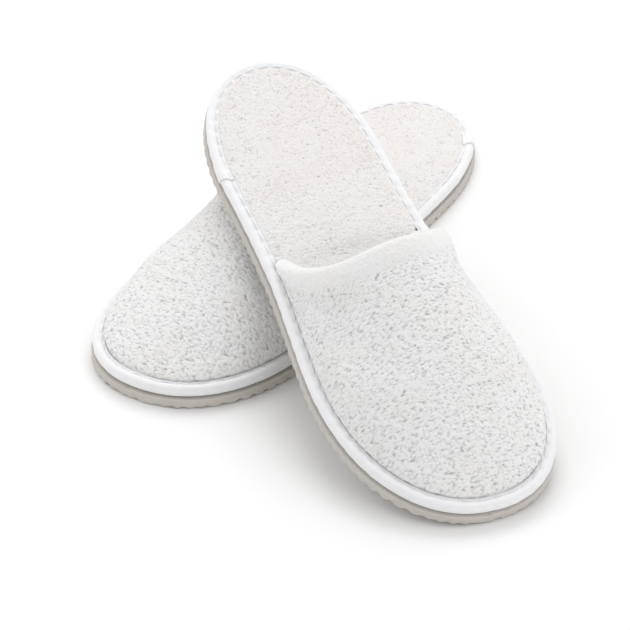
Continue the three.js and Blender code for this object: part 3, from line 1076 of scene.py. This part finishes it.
@dataclass
class Part:
    """What every sub-assembly of a slipper knows."""

    prefix: str
    placement: Placement
    outline: Outline
    wardrobe: Wardrobe

    def finish(
        self, made: Piece, nodes: list[str], slot: str, finish: object
    ) -> Piece:
        """Rides, dresses and reports a piece that stands for CAD nodes of this slipper."""
        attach(made, f"{self.prefix}_slipper")
        if nodes:
            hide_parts(*[f"{self.prefix}_{node}" for node in nodes])
        self.wardrobe.wear(made, finish)
        LOG.info("%s: %d faces", made.name, len(made.data.polygons))
        return made


@dataclass
class Outsole(Part):
    """Foam rubber outsole with ribs across its underside and a rippled lower edge."""

    thickness: float = 5.0
    rib_pitch: float = 6.5
    groove_width: float = 2.4
    groove_depth: float = 0.9
    ripple: float = 1.3
    rows: int = 420
    columns: int = 25
    upper_wall: tuple[tuple[float, float], ...] = (  # inset and height, from the top down
        (0.7, 5.0), (0.25, 4.85), (0.02, 4.5), (0.06, 3.8), (0.0, 2.6),
    )
    lower_wall: tuple[Triple, ...] = (  # inset, height and what the ripple leaves alone
        (0.0, 1.5, 1.0), (0.05, 0.9, 0.6), (0.1, 0.4, 0.25), (0.45, 0.06, 0.05),
    )

    def groove(self, x: Array) -> Array:
        """1 in the grooves across the foot, 0 on the ribs, with soft shoulders."""
        off = np.mod(x - self.outline.length / 2.0, self.rib_pitch) - self.rib_pitch / 2.0
        half = self.groove_width / 2.0
        return 1.0 - smooth(half - 0.35, half + 0.45, np.abs(off))

    def build(self) -> Piece:
        """Makes the outsole.

        The wall is a profile carried round the outline; its lower part ripples with the
        grooves along the sides and with a wave of the same pitch round both tips. The
        underside and the top are grids of stations by shares of the width.

        Returns:
            The finished piece.
        """
        columns = round_columns(self.columns)
        edge, bottom, top = (self.plate(inset, columns) for inset in (0.0, 1.0, 1.4))
        outer = Blank.rim(edge)
        run = running_length(np.vstack([outer, outer[:1]]))[:-1]
        inwards = self.inward_normals(outer)
        tips = smooth(0.55, 0.9, np.abs(inwards[:, 0]))
        place = outer * np.array([1.0, 1.0, 0.0])
        wander = 1.4 * drift(place, 21.0, 91)
        wave = 0.5 + 0.5 * np.cos(2.0 * math.pi * (run + wander) / (0.92 * self.rib_pitch))
        dents = (1.0 - tips) * self.groove(outer[:, 0]) + tips * wave
        dents = dents * (0.75 + 0.35 * drift(place, 11.0, 92))
        loops = [
            self.ring_at(outer, inwards, inset + 0.25 * dents, z) for inset, z in self.upper_wall
        ]
        for inset, z, share in self.lower_wall:
            sunk = inset + self.ripple * dents * (1.0 - share) * 0.9 + 0.25 * dents
            height = z + self.groove_depth * dents * (1.0 - share)
            loops.append(self.ring_at(outer, inwards, sunk, height))
        top[..., 2] = self.thickness
        near = smooth(0.86, 1.0, np.abs(columns))[None, :]
        lift = self.groove(bottom[..., 0])
        bottom[..., 2] = self.groove_depth * lift * (1.0 - 0.2 * near)
        blank = Blank()
        blank.skin(top, bottom, np.arange(self.rows), np.arange(self.columns), loops)
        # Paler values: a painted highlight on the wall's upper shoulder, paler towards its bottom
        # edge, over an even base.
        wear = np.full(blank.count, 0.35)
        z = np.concatenate(blank.corners)[:, 2]
        wear += 0.6 * smooth(4.2, 5.0, z) * (z < 5.0) + 0.25 * smooth(1.6, 0.2, z)
        made = blank.piece(f"{self.prefix}_ribbed_outsole", self.placement, {"wear": wear})
        return self.finish(made, ["outsole"], "eva", FoamSoleFinish())

    def plate(self, inset: float, columns: Array) -> Array:
        """A flat grid, inset from the outsole's edge, with its rows crowded at the tips."""
        edge = Edge(self.outline, Inset.OUTSOLE + inset)
        return edge.grid(0.12, crowded(self.rows, 0.045), columns)

    def inward_normals(self, rim: Array) -> Array:
        """Unit normals of a closed rim towards the inside."""
        along = np.roll(rim, -1, axis=0) - np.roll(rim, 1, axis=0)
        along = along[:, :2] / np.maximum(np.linalg.norm(along[:, :2], axis=1)[:, None], 1e-9)
        inwards = np.stack([-along[:, 1], along[:, 0]], axis=1)
        centre = np.array([self.outline.length / 2.0, 0.0])
        facing = np.sign(((centre - rim[:, :2]) * inwards).sum(1).sum())
        return inwards * facing

    @staticmethod
    def ring_at(
        rim: Array, inwards: Array, inset: Array, z: Array | float
    ) -> Array:
        """The rim moved inwards by inset and set at height z."""
        moved = rim[:, :2] + inwards * np.reshape(inset, (-1, 1))
        return np.column_stack([moved, np.broadcast_to(z, len(rim))])


@dataclass
class Insole(Part):
    """Padded insole: stiff card, soft foam and a terry cover that swells over it."""

    pile: Pile = Pile(pitch=1.1, height=0.6, across=1.5, clumps=0.25, seed=21)

    def surface(
        self, stations: Array, columns: Array
    ) -> tuple[Array, Array]:
        """A layer's flat grid of shares, and each point's distance from the outline."""
        grid = Edge(self.outline, Inset.LAYER_EDGE).grid(0.1, stations, columns)
        return grid, self.outline.depth_inside(grid[..., 0], grid[..., 1])

    def build(self) -> list[Piece]:
        """Makes the foam and the cover, and dresses the card inside them."""
        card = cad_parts[f"{self.prefix}_insole_backing"]
        self.wardrobe.wear(card, CARD)
        foam = self.build_foam()
        return [foam, self.build_cover(foam)]

    def build_foam(self) -> Piece:
        """Foam slab, pinched to a thin rim where the binding holds it."""
        rows, columns = 140, 41
        top, depth = self.surface(crowded(rows, 0.03), round_columns(columns))
        bottom = top.copy()
        swell = smooth(6.9, 11.7, depth)
        lumps = drift(top, 14.0, 31)
        top[..., 2] = blend(Level.FOAM_RIM, Level.FOAM_TOP, swell) + 0.08 * lumps
        bottom[..., 2] = Level.FOAM_BOTTOM
        blank = Blank()
        blank.skin(top, bottom, np.arange(rows), np.arange(columns))
        made = blank.piece(f"{self.prefix}_insole_foam_pad", self.placement)
        return self.finish(made, ["insole_foam"], "foam", FOAM)

    def build_cover(self, foam: Piece) -> Piece:
        """Terry cover: flat under the binding, then a soft crowned pad of loops."""
        seen = 0.655  # the share of the length that the vamp leaves in sight, with finer rows
        fine = np.linspace(0.0, seen, 400)
        stations = np.concatenate([fine, np.linspace(seen, 1.0, 40)[1:]])
        columns = np.linspace(-1.0, 1.0, 171)
        columns = columns * (1.0 + 0.12 * (1.0 - np.abs(columns)))
        top, depth = self.surface(stations, columns)
        under_vamp = smooth(119.7, 129.7, top[..., 0])
        near, far = 4.3 + 4.2 * under_vamp, 8.0 + 2.5 * under_vamp
        t = np.clip((depth - near) / (far - near), 0.0, 1.0)
        swell = np.sqrt(np.clip(1.0 - (1.0 - t) ** 2, 0.0, 1.0))
        settled = 0.28 * drift(top, 34.0, 41) + 0.16 * drift(top, 12.0, 42)
        crown = 0.6 * smooth(7.0, 40.0, depth)
        smooth_top = top.copy()
        smooth_top[..., 2] = Level.COVER_RIM + swell * (
            Level.COVER_TOP - Level.COVER_RIM - 0.45
            + (0.5 + settled + crown) * (1.0 - under_vamp)
        )
        relief = self.pile.relief(smooth_top)
        held = smooth(4.6, 6.0, depth) * (1.0 - 0.5 * under_vamp)
        raised = smooth_top + upward_normals(smooth_top) * (
            (relief - 0.25) * self.pile.height * held
        )[..., None]
        rows, picked = every(8, len(stations)), every(6, len(columns))
        below, inside = smooth_top[np.ix_(rows, picked)].copy(), depth[np.ix_(rows, picked)]
        sunk = smooth(7.5, 11.9, inside)
        below[..., 2] = blend(Level.COVER_RIM_BOTTOM, Level.COVER_BOTTOM, sunk)
        blank = Blank()
        blank.skin(raised, below, rows, picked)
        # The stored relief also sets the painted crease shade in the cover's colour.
        made = blank.piece(f"{self.prefix}_insole_terry_cover", self.placement, {"pile": relief})
        sheet_area(top) * MM * MM
        return self.finish(made, ["insole_terry"], "insole_terry", INSOLE_TERRY)


ALONG_STITCH = np.linspace(0.0, 1.0, 7)  # shares of the way along one stitch
ROUND_THREAD = np.linspace(0.0, 2.0 * math.pi, 7)[:-1]  # angles round its thread
STITCH_ARCH = np.sin(math.pi * ALONG_STITCH) ** 0.5
STITCH_SWELL = 0.45 + 0.55 * STITCH_ARCH  # its thread is thinner where it dives


@dataclass
class Binding(Part):
    """Woven tape folded round the rim, with its lockstitch and its overlapping end."""

    stitch_pitch: float = 8.2
    overlap_at: float = 0.0
    seed: int = 3
    sections: int = 1250
    across: int = 34
    thickness: float = 0.6
    lap: float = 16.0

    def fold(self, lift: float, count: int) -> Array:
        """Path across the tape from the top leg round the rim to the bottom leg.

        Args:
            lift: distance of the path inwards from the tape's outer face.
            count: points on it.

        Returns:
            (inset, height) pairs.
        """
        top, low = Level.TAPE_TOP, Level.TAPE_BOTTOM
        corners = [
            (Inset.TAPE + 0.1, top - 0.15), (4.3, top - 0.45), (3.3, top - 0.15),
            (1.9, top + 0.4), (0.4, top - 0.3), (-0.35, top - 1.8), (-0.3, low + 2.7),
            (0.6, low + 0.9), (2.0, low + 0.1), (Inset.TAPE, low),
        ]
        path = soft_path(corners, count, 0.55)
        normals = path_normals(path)
        into_fold = np.sign(((path.mean(axis=0) - path) * normals).sum())
        return path + lift * normals * into_fold

    def carried(self, path: Array, run: Array) -> Array:
        """A path across the tape carried round the outline.

        The tape dips at each needle hole beside the stitches, puffs out between them and
        wanders a little along its length.

        Args:
            path: (inset, height) pairs.
            run: lengths round the outline, one per section.

        Returns:
            Points, shape (sections, path points, 3).
        """
        place, inwards = self.outline.along(run)
        inset, height = path[None, :, 0], path[None, :, 1]
        perimeter = self.outline.perimeter()
        stitches = round(perimeter / self.stitch_pitch)
        phase = 2.0 * math.pi * stitches * run / perimeter
        hole = (0.5 + 0.5 * np.cos(phase))[:, None] ** 4
        puff = (0.5 - 0.5 * np.cos(phase))[:, None]
        upper = smooth(8.5, 10.5, height)
        by_stitch = np.exp(-(((inset - Inset.STITCHES) / 1.0) ** 2)) * upper
        circle = 2.0 * math.pi * run / perimeter
        ring = np.stack([np.cos(circle), np.sin(circle), 0.0 * circle], axis=-1)
        ring = ring * perimeter / 6.283 + 200.0
        slow = drift(ring, 26.0, self.seed)[:, None]
        quick = drift(ring, 6.5, self.seed + 1)[:, None]
        crease = drift(
            np.stack(np.broadcast_arrays(
                (run / 3.2)[:, None] + 0.35 * inset, inset / 5.0, height / 6.0), axis=-1),
            1.0, self.seed + 2,
        )
        body = smooth(5.4, 3.0, inset) * smooth(5.4, 8.0, height)
        grown = body * (0.2 * slow + 0.16 * quick + 0.13 * puff + 0.14 * crease)
        dip = by_stitch * (0.42 * hole - 0.1 * puff)
        wander = (0.18 * slow + 0.1 * quick) * smooth(3.2, 5.6, inset) * upper
        mean = path.mean(axis=0)
        away = np.stack([path[:, 0] - 3.0, path[:, 1] - mean[1]], axis=1)
        away /= np.maximum(np.linalg.norm(away, axis=1, keepdims=True), 1e-6)
        moved_in = inset + away[None, :, 0] * grown + wander
        moved_up = height + away[None, :, 1] * grown - dip
        flat = place[:, None, :] + inwards[:, None, :] * moved_in[..., None]
        return np.concatenate([flat, moved_up[..., None]], axis=-1)

    def build(self) -> list[Piece]:
        """Makes the tape, its overlapping end and the stitches."""
        perimeter = self.outline.perimeter()
        run = np.linspace(0.0, perimeter, self.sections, endpoint=False)
        outside = self.carried(self.fold(0.0, self.across), run)
        inside = self.carried(self.fold(self.thickness, self.across // 2), run)[:, ::-1]
        rings = np.concatenate([outside, inside], axis=1)
        blank = Blank()
        blank.tube(rings)
        width = running_length(self.fold(0.0, 120))[-1]
        marks = self.weave_marks(run, rings.shape[1], width)
        tape = blank.piece(f"{self.prefix}_edge_binding_tape", self.placement, marks)
        end = self.build_end(perimeter, width)
        stitches = self.build_stitches(perimeter)
        self.finish(tape, ["edge_binding"], "tape", TapeFinish())
        return [tape, end, stitches]

    @staticmethod
    def weave_marks(run: Array, around: int, width: float) -> dict[str, Array]:
        """Lengths along and across the tape, in millimetres, for its weave."""
        across = np.linspace(0.0, 2.0 * width, around)
        return {
            "along": np.repeat(run[:, None], around, axis=1),
            "across": np.repeat(across[None, :], len(run), axis=0),
        }

    def build_end(self, perimeter: float, width: float) -> Piece:
        """The tape's cut end, lapped over its start and slanting across the roll.

        Its two grids stop partway along the lower leg, and away from the cut the outer one
        sinks on to the inner one.
        """
        rows, columns, whole = 44, 34, 40
        share = np.linspace(0.0, 1.0, rows)
        slant = 5.0 * (np.linspace(0.0, 1.0, whole) - 0.2)
        run = self.overlap_at * perimeter + share * self.lap
        taper = (1.0 - smooth(0.25, 1.0, share))[:, None, None]
        inner_path = self.fold(-0.04, whole)
        under = self.carried(inner_path, run)
        grids = []
        for path in (self.fold(-self.thickness, whole), inner_path):
            grid = under + (self.carried(path, run) - under) * taper
            shift = self.carried(path, run[:1] + 1.0) - self.carried(path, run[:1])
            grid = grid + shift * (slant[None, :, None] * (1.0 - share)[:, None, None])
            grids.append(grid[:, :columns])
        blank = Blank()
        blank.skin(*grids, np.arange(rows), np.arange(columns))
        marks = self.weave_marks(run, columns, width / 2.0)
        end = blank.piece(f"{self.prefix}_tape_end", self.placement, marks)
        return self.finish(end, [], "tape", TapeFinish())

    def build_stitches(self, perimeter: float) -> Piece:
        """A row of stitches: each a short arched thread from one needle hole to the next."""
        count = round(perimeter / self.stitch_pitch)
        pitch = perimeter / count
        random = scatter(np.stack([np.arange(count), np.zeros(count), np.zeros(count)], -1), 8)
        t = ALONG_STITCH
        run = (np.arange(count)[:, None] + 0.07 + 0.86 * t[None, :]) * pitch
        place, inwards = self.outline.along(run)
        inset = Inset.STITCHES + 0.35 * (random[:, :1] - 0.5) + 0.1 * np.cos(3.0 * t)[None, :]
        lift = Level.TAPE_TOP - 0.75 + 0.78 * STITCH_ARCH[None, :] + 0.12 * random[:, 1:2]
        centre = np.concatenate(
            [place + inwards * inset[..., None], lift[..., None]], axis=-1
        )
        angle, radius = ROUND_THREAD, 0.42 * STITCH_SWELL
        sideways = np.concatenate([inwards, np.zeros_like(inwards[..., :1])], axis=-1)
        up = np.array([0.0, 0.0, 1.0])
        ring = (
            sideways[:, :, None, :] * np.cos(angle)[None, None, :, None]
            + up * np.sin(angle)[None, None, :, None]
        )
        rings = centre[:, :, None, :] + ring * radius[None, :, None, None]
        blank = Blank()
        blank.rods(rings)
        along = np.broadcast_to(
            (run - run[:, :1])[:, :, None] + 0.25 * angle[None, None, :], rings.shape[:-1]
        )
        made = blank.piece(f"{self.prefix}_edge_stitches", self.placement, {"along": along})
        return self.finish(made, ["edge_thread"], "thread", ThreadFinish())


@dataclass
class Vamp(Part):
    """Closed upper: terry, foam and lining, with a terry strip folded over the opening."""

    shape: VampShape = VampShape()
    pile: Pile = Pile(pitch=1.1, height=0.7, across=1.8, clumps=0.2, seed=51)
    hem_pile: Pile = Pile(pitch=0.95, height=0.45, clumps=0.3, seed=71)
    terry_thickness: float = 1.8
    foam_depth: float = 2.25
    foam_thickness: float = 1.8
    lining_depth: float = 4.5
    lining_thickness: float = 0.7
    hem_width: float = 12.0
    hem_thickness: float = 1.15
    hem_rows: int = 330
    hem_columns: int = 62
    stitch_line: float = 9.6  # how far forward of the opening the hem's stitches run
    setback: float = 1.7
    stitch_pitch: float = 4.6

    def dome(self, depth: float) -> Dome:
        """The vamp's surface at a depth."""
        return Dome(self.outline, self.shape, depth)

    def opening(self, phi: Array) -> Array:
        """Stations of the opening's edge at angles phi."""
        return self.shape.opening(self.outline, phi)

    def opening_arc(self, level: float, count: int) -> Array:
        """Even angles over the opening's edge, from height level up and down again."""
        low = float(self.dome(0.0).angle_at(self.opening(np.array(0.0)), level))
        return np.linspace(low, math.pi - low, count)

    @staticmethod
    def shares(count: int, ease: float) -> Array:
        """Shares from almost 0 to 1, crowded at both ends by a part of a cosine."""
        r = np.linspace(0.0, 1.0, count)
        eased = (1.0 - ease) * r + ease * (1.0 - np.cos(math.pi * r)) / 2.0
        return np.maximum(eased, 0.002)

    def relaxed(self, points: Array, along: Array, over: Array) -> Array:
        """Soft hollows and folds of worn-in cloth: slow lumps along the surface's normals.

        Args:
            points: grid of the smooth dome.
            along: shares of the way from the toe, one per row.
            over: shares of the way over the arch, one per column.

        Returns:
            The grid, moved by up to about a millimetre, still at its rims.
        """
        free = smooth(0.0, 0.16, over) * smooth(1.0, 0.84, over)
        free = (smooth(0.0, 0.12, along) * smooth(0.98, 0.86, along))[:, None] * free[None, :]
        slow = 1.1 * drift(points, 42.0, 61) + 0.5 * drift(points, 19.0, 62)
        flank = smooth(0.06, 0.2, over) * smooth(0.42, 0.24, over)
        flank = flank + flank[::-1]
        behind = smooth(0.45, 0.74, along) * smooth(0.97, 0.82, along)
        slow = slow - 2.6 * behind[:, None] * flank[None, :]
        return points + upward_normals(points) * (slow * free)[..., None]

    def build(self) -> list[Piece]:
        """Makes the three layers, the hem and its stitches."""
        cover = self.build_cover()
        foam = self.build_liner(
            "vamp_foam_layer", "vamp_foam", "foam", FOAM, self.foam_depth, self.foam_thickness
        )
        lining = self.build_liner(
            "vamp_lining_layer", "vamp_lining", "lining", LINING, self.lining_depth,
            self.lining_thickness,
        )
        stitches = self.build_hem_stitches()
        hem = self.build_hem(stitches)
        self.declare(cover, 0.0, Level.FLANGE_TOP, "vamp_foam_layer")
        self.declare(foam, self.foam_depth, Level.LINER_BASE, "vamp_lining_layer")
        self.declare(lining, self.lining_depth, Level.LINER_BASE, "edge_binding_tape")
        return [cover, foam, lining, hem, stitches]

    def declare(self, made: Piece, depth: float, base: float, rests_on: str) -> None:
        """Works out the area of a layer of the vamp from its own smooth dome and its reach;
        nothing is kept.
        """
        along, over = self.shares(60, 0.2), np.linspace(0.0, 1.0, 61)
        sheet, _ = self.dome(depth).sheet(base, along, over, self.setback)
        width = running_length(sheet[-1])[-1]
        length = running_length(sheet[:, 0])[-1] * 1.02
        min(sheet_area(sheet), width * length) * MM * MM

    def build_cover(self) -> Piece:
        """Outer terry: a fine grid of loops, a plain inner face, and a flange under the tape."""
        along, over = self.shares(285, 0.12), np.linspace(0.0, 1.0, 269)
        sheet, from_opening = self.dome(0.0).sheet(Level.FLANGE_TOP, along, over, self.setback)
        sheet = self.relaxed(sheet, along, over)
        relief = self.pile.relief(sheet)
        near_hem = smooth(self.hem_width - 4.0, self.hem_width - 0.8, from_opening)
        above = sheet[..., 2] - Level.FLANGE_TOP
        held = smooth(0.2, 1.4, above) * near_hem
        roll = 0.9 * smooth(0.5, 1.8, above) * smooth(9.0, 2.5, above)
        raised = sheet + upward_normals(sheet) * (
            (relief - 0.3) * self.pile.height * held + roll - 0.35 * (1.0 - near_hem)
        )[..., None]
        rows, columns = every(7, len(along)), every(7, len(over))
        inner, _ = self.dome(self.terry_thickness).sheet(
            Level.FLANGE_BOTTOM + 0.05, along[rows], over[columns], self.setback
        )
        inner = self.relaxed(inner, along[rows], over[columns])
        blank = Blank()
        blank.skin(raised, inner, rows, columns, self.flange(Blank.rim(raised), len(over)))
        # The stored relief also sets the painted crease shade in the cover's colour.
        made = blank.piece(f"{self.prefix}_vamp_terry_cover", self.placement, {"pile": relief})
        return self.finish(made, ["vamp_terry"], "terry", VAMP_TERRY)

    def flange(self, rim: Array, columns: int) -> list[Array]:
        """The loops that carry the seam out under the binding and back, still at the opening.

        Args:
            rim: the outer grid's rim, from the toe's row on.
            columns: the grid's columns.

        Returns:
            A loop at the flange's upper edge and one at its lower edge.
        """
        edge = Edge(self.outline, Inset.LAYER_EDGE)
        centre = edge.middle(rim[:, 0])
        sideways = np.sign(rim[:, 1] - centre)
        toe = Edge(self.outline, Inset.SEAM).tip
        start = self.outline.length - self.shape.toe_to_outer_end
        share = np.clip((toe - rim[:, 0]) / (toe - start), 0.0, 1.0)
        out_x = edge.tip - share * (edge.tip - start) - 0.02
        low = rim[:, 2] < Level.FLANGE_TOP + 0.6
        tip_row = np.arange(len(rim)) < columns
        out_y = edge.middle(out_x) + sideways * edge.half(out_x)
        side = np.stack([out_x, out_y, np.full(len(rim), Level.FLANGE_TOP)], axis=1)
        tip = rim.copy()
        spread = np.linspace(-1.0, 1.0, columns)
        tip_x = edge.tip - 0.4 * np.abs(spread)
        tip[:columns, 0] = tip_x
        tip[:columns, 1] = edge.middle(tip_x) + spread * edge.half(tip_x)
        tip[:columns, 2] = Level.FLANGE_TOP
        upper = np.where(tip_row[:, None], tip, np.where(low[:, None], side, rim))
        lower = upper - np.where(low[:, None], np.array([0.0, 0.0, 0.6]), 0.0)
        return [upper, lower]

    def build_liner(
        self, name: str, node: str, slot: str, finish: PlainFinish, depth: float, thick: float
    ) -> Piece:
        """A smooth layer under the terry, closed round its rim."""
        along, over = self.shares(90, 0.3), np.linspace(0.0, 1.0, 81)
        base = Level.LINER_BASE
        outer, _ = self.dome(depth).sheet(base, along, over, self.setback)
        inner, _ = self.dome(depth + thick).sheet(base, along, over, self.setback)
        outer, inner = (self.relaxed(part, along, over) for part in (outer, inner))
        blank = Blank()
        blank.skin(outer, inner, np.arange(len(along)), np.arange(len(over)))
        made = blank.piece(f"{self.prefix}_{name}", self.placement)
        return self.finish(made, [node], slot, finish)

    def hem_path(self, lift: float, count: int) -> Array:
        """Path across the hem from its outer leg over the edge to its inner leg.

        Args:
            lift: distance inwards from the strip's outer face.
            count: points on it.

        Returns:
            (depth, distance forward of the opening) pairs.
        """
        deep = self.lining_depth + self.lining_thickness
        out, within = -1.5 + lift, deep + 1.5 - lift
        ends = [(0.9 + 0.1 * lift, self.hem_width + 2.6 - 0.6 * lift),
                (out + 1.1, self.hem_width - 0.2), (out + 0.35, self.hem_width - 3.2),
                (out, self.hem_width - 5.6)]
        turn = np.linspace(0.0, math.pi, 9)
        middle, reach = (out + within) / 2.0, (within - out) / 2.0
        bow = [(middle - reach * math.cos(a), 2.6 - (4.1 - lift) * math.sin(a)) for a in turn]
        tail = [(within - 0.2, self.hem_width - 0.9), (deep + 0.3, self.hem_width + 0.4)]
        return soft_path([*ends, *bow, *tail], count, 0.5)

    def hem_grid(self, path: Array, phi: Array) -> Array:
        """The hem's path carried over the arch of the opening."""
        columns = []
        for depth, forward in path.tolist():
            columns.append(self.dome(depth).point(self.opening(phi) + forward, phi))
        return np.stack(columns, axis=1)

    def build_hem(self, stitches: Piece) -> Piece:
        """Terry strip rolled over the edge, softer than the rest and painted lighter over the
        roll.
        """
        phi = self.opening_arc(Level.TAPE_TOP + 0.6, self.hem_rows)
        path = self.hem_path(0.0, self.hem_columns)
        grid = self.hem_grid(path, phi)
        inside = self.hem_grid(self.hem_path(self.hem_thickness, self.hem_columns), phi)
        normals = sheet_normals(grid)
        outwards = np.sign(((grid - inside) * normals).sum())
        across = np.linspace(0.0, 1.0, self.hem_columns)
        slack = smooth(0.0, 0.1, across) * smooth(1.0, 0.9, across)
        lumps = 0.3 * drift(grid, 16.0, 81) + 0.2 * drift(grid, 7.0, 82)
        relief = self.hem_pile.relief(grid)
        moved = lumps + (relief - 0.4) * self.hem_pile.height
        raised = grid + normals * outwards * (moved * slack[None, :])[..., None]
        rows, columns = every(3, self.hem_rows), every(2, self.hem_columns)
        blank = Blank()
        blank.skin(raised, inside[np.ix_(rows, columns)], rows, columns)
        # Painted light: over the roll the stored pile is raised, which lightens the painted crease
        # shade there.
        roll_lightening = smooth(0.02, 0.3, across)[None, :]
        marks = {"pile": relief * (1.0 - roll_lightening) + (0.95 + 0.35 * relief) * roll_lightening}
        made = blank.piece(f"{self.prefix}_opening_hem_roll", self.placement, marks)
        width = running_length(path)[-1]
        outer_leg = 18  # the column whose length the strip is cut to
        length = float(running_length(grid[:, outer_leg])[-1])
        min(sheet_area(grid), width * length) * MM * MM
        return self.finish(made, ["opening_hem"], "terry", VAMP_TERRY)

    def build_hem_stitches(self) -> Piece:
        """Small stitches sunk in the pile along the hem's front edge."""
        fine = self.opening_arc(Level.TAPE_TOP + 2.2, 600)
        line = self.dome(-self.hem_thickness).point(self.opening(fine) + self.stitch_line, fine)
        run = running_length(line)
        count = int(run[-1] / self.stitch_pitch)
        at = (np.arange(count)[:, None] + 0.1 + 0.8 * ALONG_STITCH[None, :]) * (run[-1] / count)
        phi = np.interp(at, run, fine)
        radius, depths = 0.34 * STITCH_SWELL, -0.35 - 0.7 * STITCH_ARCH
        rings = []
        for a in ROUND_THREAD.tolist():
            rows = []
            for k in range(len(ALONG_STITCH)):
                forward = self.stitch_line + radius[k] * math.cos(a)
                depth = float(depths[k] - radius[k] * math.sin(a))
                rows.append(self.dome(depth).point(self.opening(phi[:, k]) + forward, phi[:, k]))
            rings.append(np.stack(rows, axis=1))
        grid = np.stack(rings, axis=2)
        blank = Blank()
        blank.rods(grid)
        along = (at - at[:, :1])[:, :, None] + 0.25 * ROUND_THREAD
        made = blank.piece(f"{self.prefix}_hem_stitches", self.placement, {"along": along})
        return self.finish(made, ["hem_thread"], "thread", ThreadFinish())


@dataclass
class Slipper:
    """One slipper, put together from its sub-assemblies."""

    prefix: str
    hand: Hand
    heading: float
    overlap_at: float
    wardrobe: Wardrobe
    outline: Outline = Outline()

    def build(self) -> Placement:
        """Builds every piece and returns where the slipper lies."""
        placement = Placement(self.prefix, self.hand, self.heading, self.outline)
        common = (self.prefix, placement, self.outline, self.wardrobe)
        Outsole(*common).build()
        Insole(*common).build()
        Binding(*common, overlap_at=self.overlap_at, seed=3 + self.hand.value).build()
        Vamp(*common).build()
        return placement


# ---- Studio -----------------------------------------------------------------------------------


@dataclass
class Studio:
    """Pale floor, soft lights and the camera."""

    azimuth: float = 31.18
    elevation: float = 34.9
    distance: float = 2.0
    lens: float = 234.4
    target: Triple = (184.9, 36.6, 0.0)
    floor_side: float = 6.0
    floor_gap: float = 0.0002  # how far the floor is below the soles, in metres
    surroundings: float = 0.67

    def build(self, placement: Placement, wardrobe: Wardrobe) -> None:
        """Sets up everything that isn't part of the object."""
        self.build_floor(wardrobe)
        self.build_lights()
        self.build_camera(Vector(placement.place(np.array([self.target]))[0]))

    def build_floor(self, wardrobe: Wardrobe) -> None:
        """A wide flat sheet a little below the soles."""
        steps = 13
        line = np.linspace(-self.floor_side, self.floor_side, steps)
        x, y = np.meshgrid(line, line, indexing="ij")
        points = np.stack([x, y, np.full_like(x, -self.floor_gap)], axis=-1).reshape(-1, 3)
        quads = grid_quads(np.arange(steps * steps).reshape(steps, steps))
        mesh = bpy.data.meshes.new("floor")
        mesh.from_pydata(points.tolist(), [], quads.reshape(-1, 4).tolist())
        floor = bpy.data.objects.new("floor", mesh)
        bpy.context.scene.collection.objects.link(floor)
        wardrobe.wear(floor, FloorFinish())

    def build_lights(self) -> None:
        """Even white surroundings, one soft light over the back and a weak one at each side."""
        world = bpy.data.worlds.new("studio")
        world.use_nodes = True
        background = world.node_tree.nodes["Background"]
        background.inputs["Color"].default_value = (1.0, 1.0, 1.0, 1.0)
        background.inputs["Strength"].default_value = self.surroundings
        bpy.context.scene.world = world
        self.area_light("key", (-0.45, 0.8, 1.35), 1.1, 10.5)
        self.area_light("left_fill", (-1.1, -0.4, 0.7), 1.2, 3.6)
        self.area_light("right_fill", (1.1, -0.1, 0.7), 1.2, 3.6)

    @staticmethod
    def area_light(name: str, place: Triple, size: float, power: float) -> None:
        """A square light that faces the middle of the object."""
        data = bpy.data.lights.new(name, "AREA")
        data.size, data.energy = size, power
        light = bpy.data.objects.new(name, data)
        light.location = place
        light.rotation_euler = (-Vector(place)).to_track_quat("-Z", "Y").to_euler()
        bpy.context.scene.collection.objects.link(light)

    def build_camera(self, target: Vector) -> None:
        """A long lens that looks down at the pair from its azimuth and elevation."""
        a, e = math.radians(self.azimuth), math.radians(self.elevation)
        back = Vector((math.sin(a) * math.cos(e), -math.cos(a) * math.cos(e), math.sin(e)))
        data = bpy.data.cameras.new("camera")
        data.lens, data.sensor_width = self.lens, 36.0
        camera = bpy.data.objects.new("camera", data)
        camera.location = target + back * self.distance
        camera.rotation_mode = "QUATERNION"
        camera.rotation_quaternion = (-back).to_track_quat("-Z", "Y")
        bpy.context.scene.collection.objects.link(camera)
        bpy.context.scene.camera = camera


def main() -> None:
    """Builds the pair and its studio."""
    logging.basicConfig(level=logging.INFO, format="%(message)s")
    bpy.context.scene.view_settings.view_transform = "Standard"
    wardrobe = Wardrobe()
    crossing = math.radians(55.66)
    lower = Slipper("lower", Hand.LEFT, -math.pi / 2.0, 0.932, wardrobe).build()
    Slipper("upper", Hand.RIGHT, crossing - math.pi / 2.0, 0.8675, wardrobe).build()
    Studio().build(lower, wardrobe)


if __name__ == "__main__":
    main()
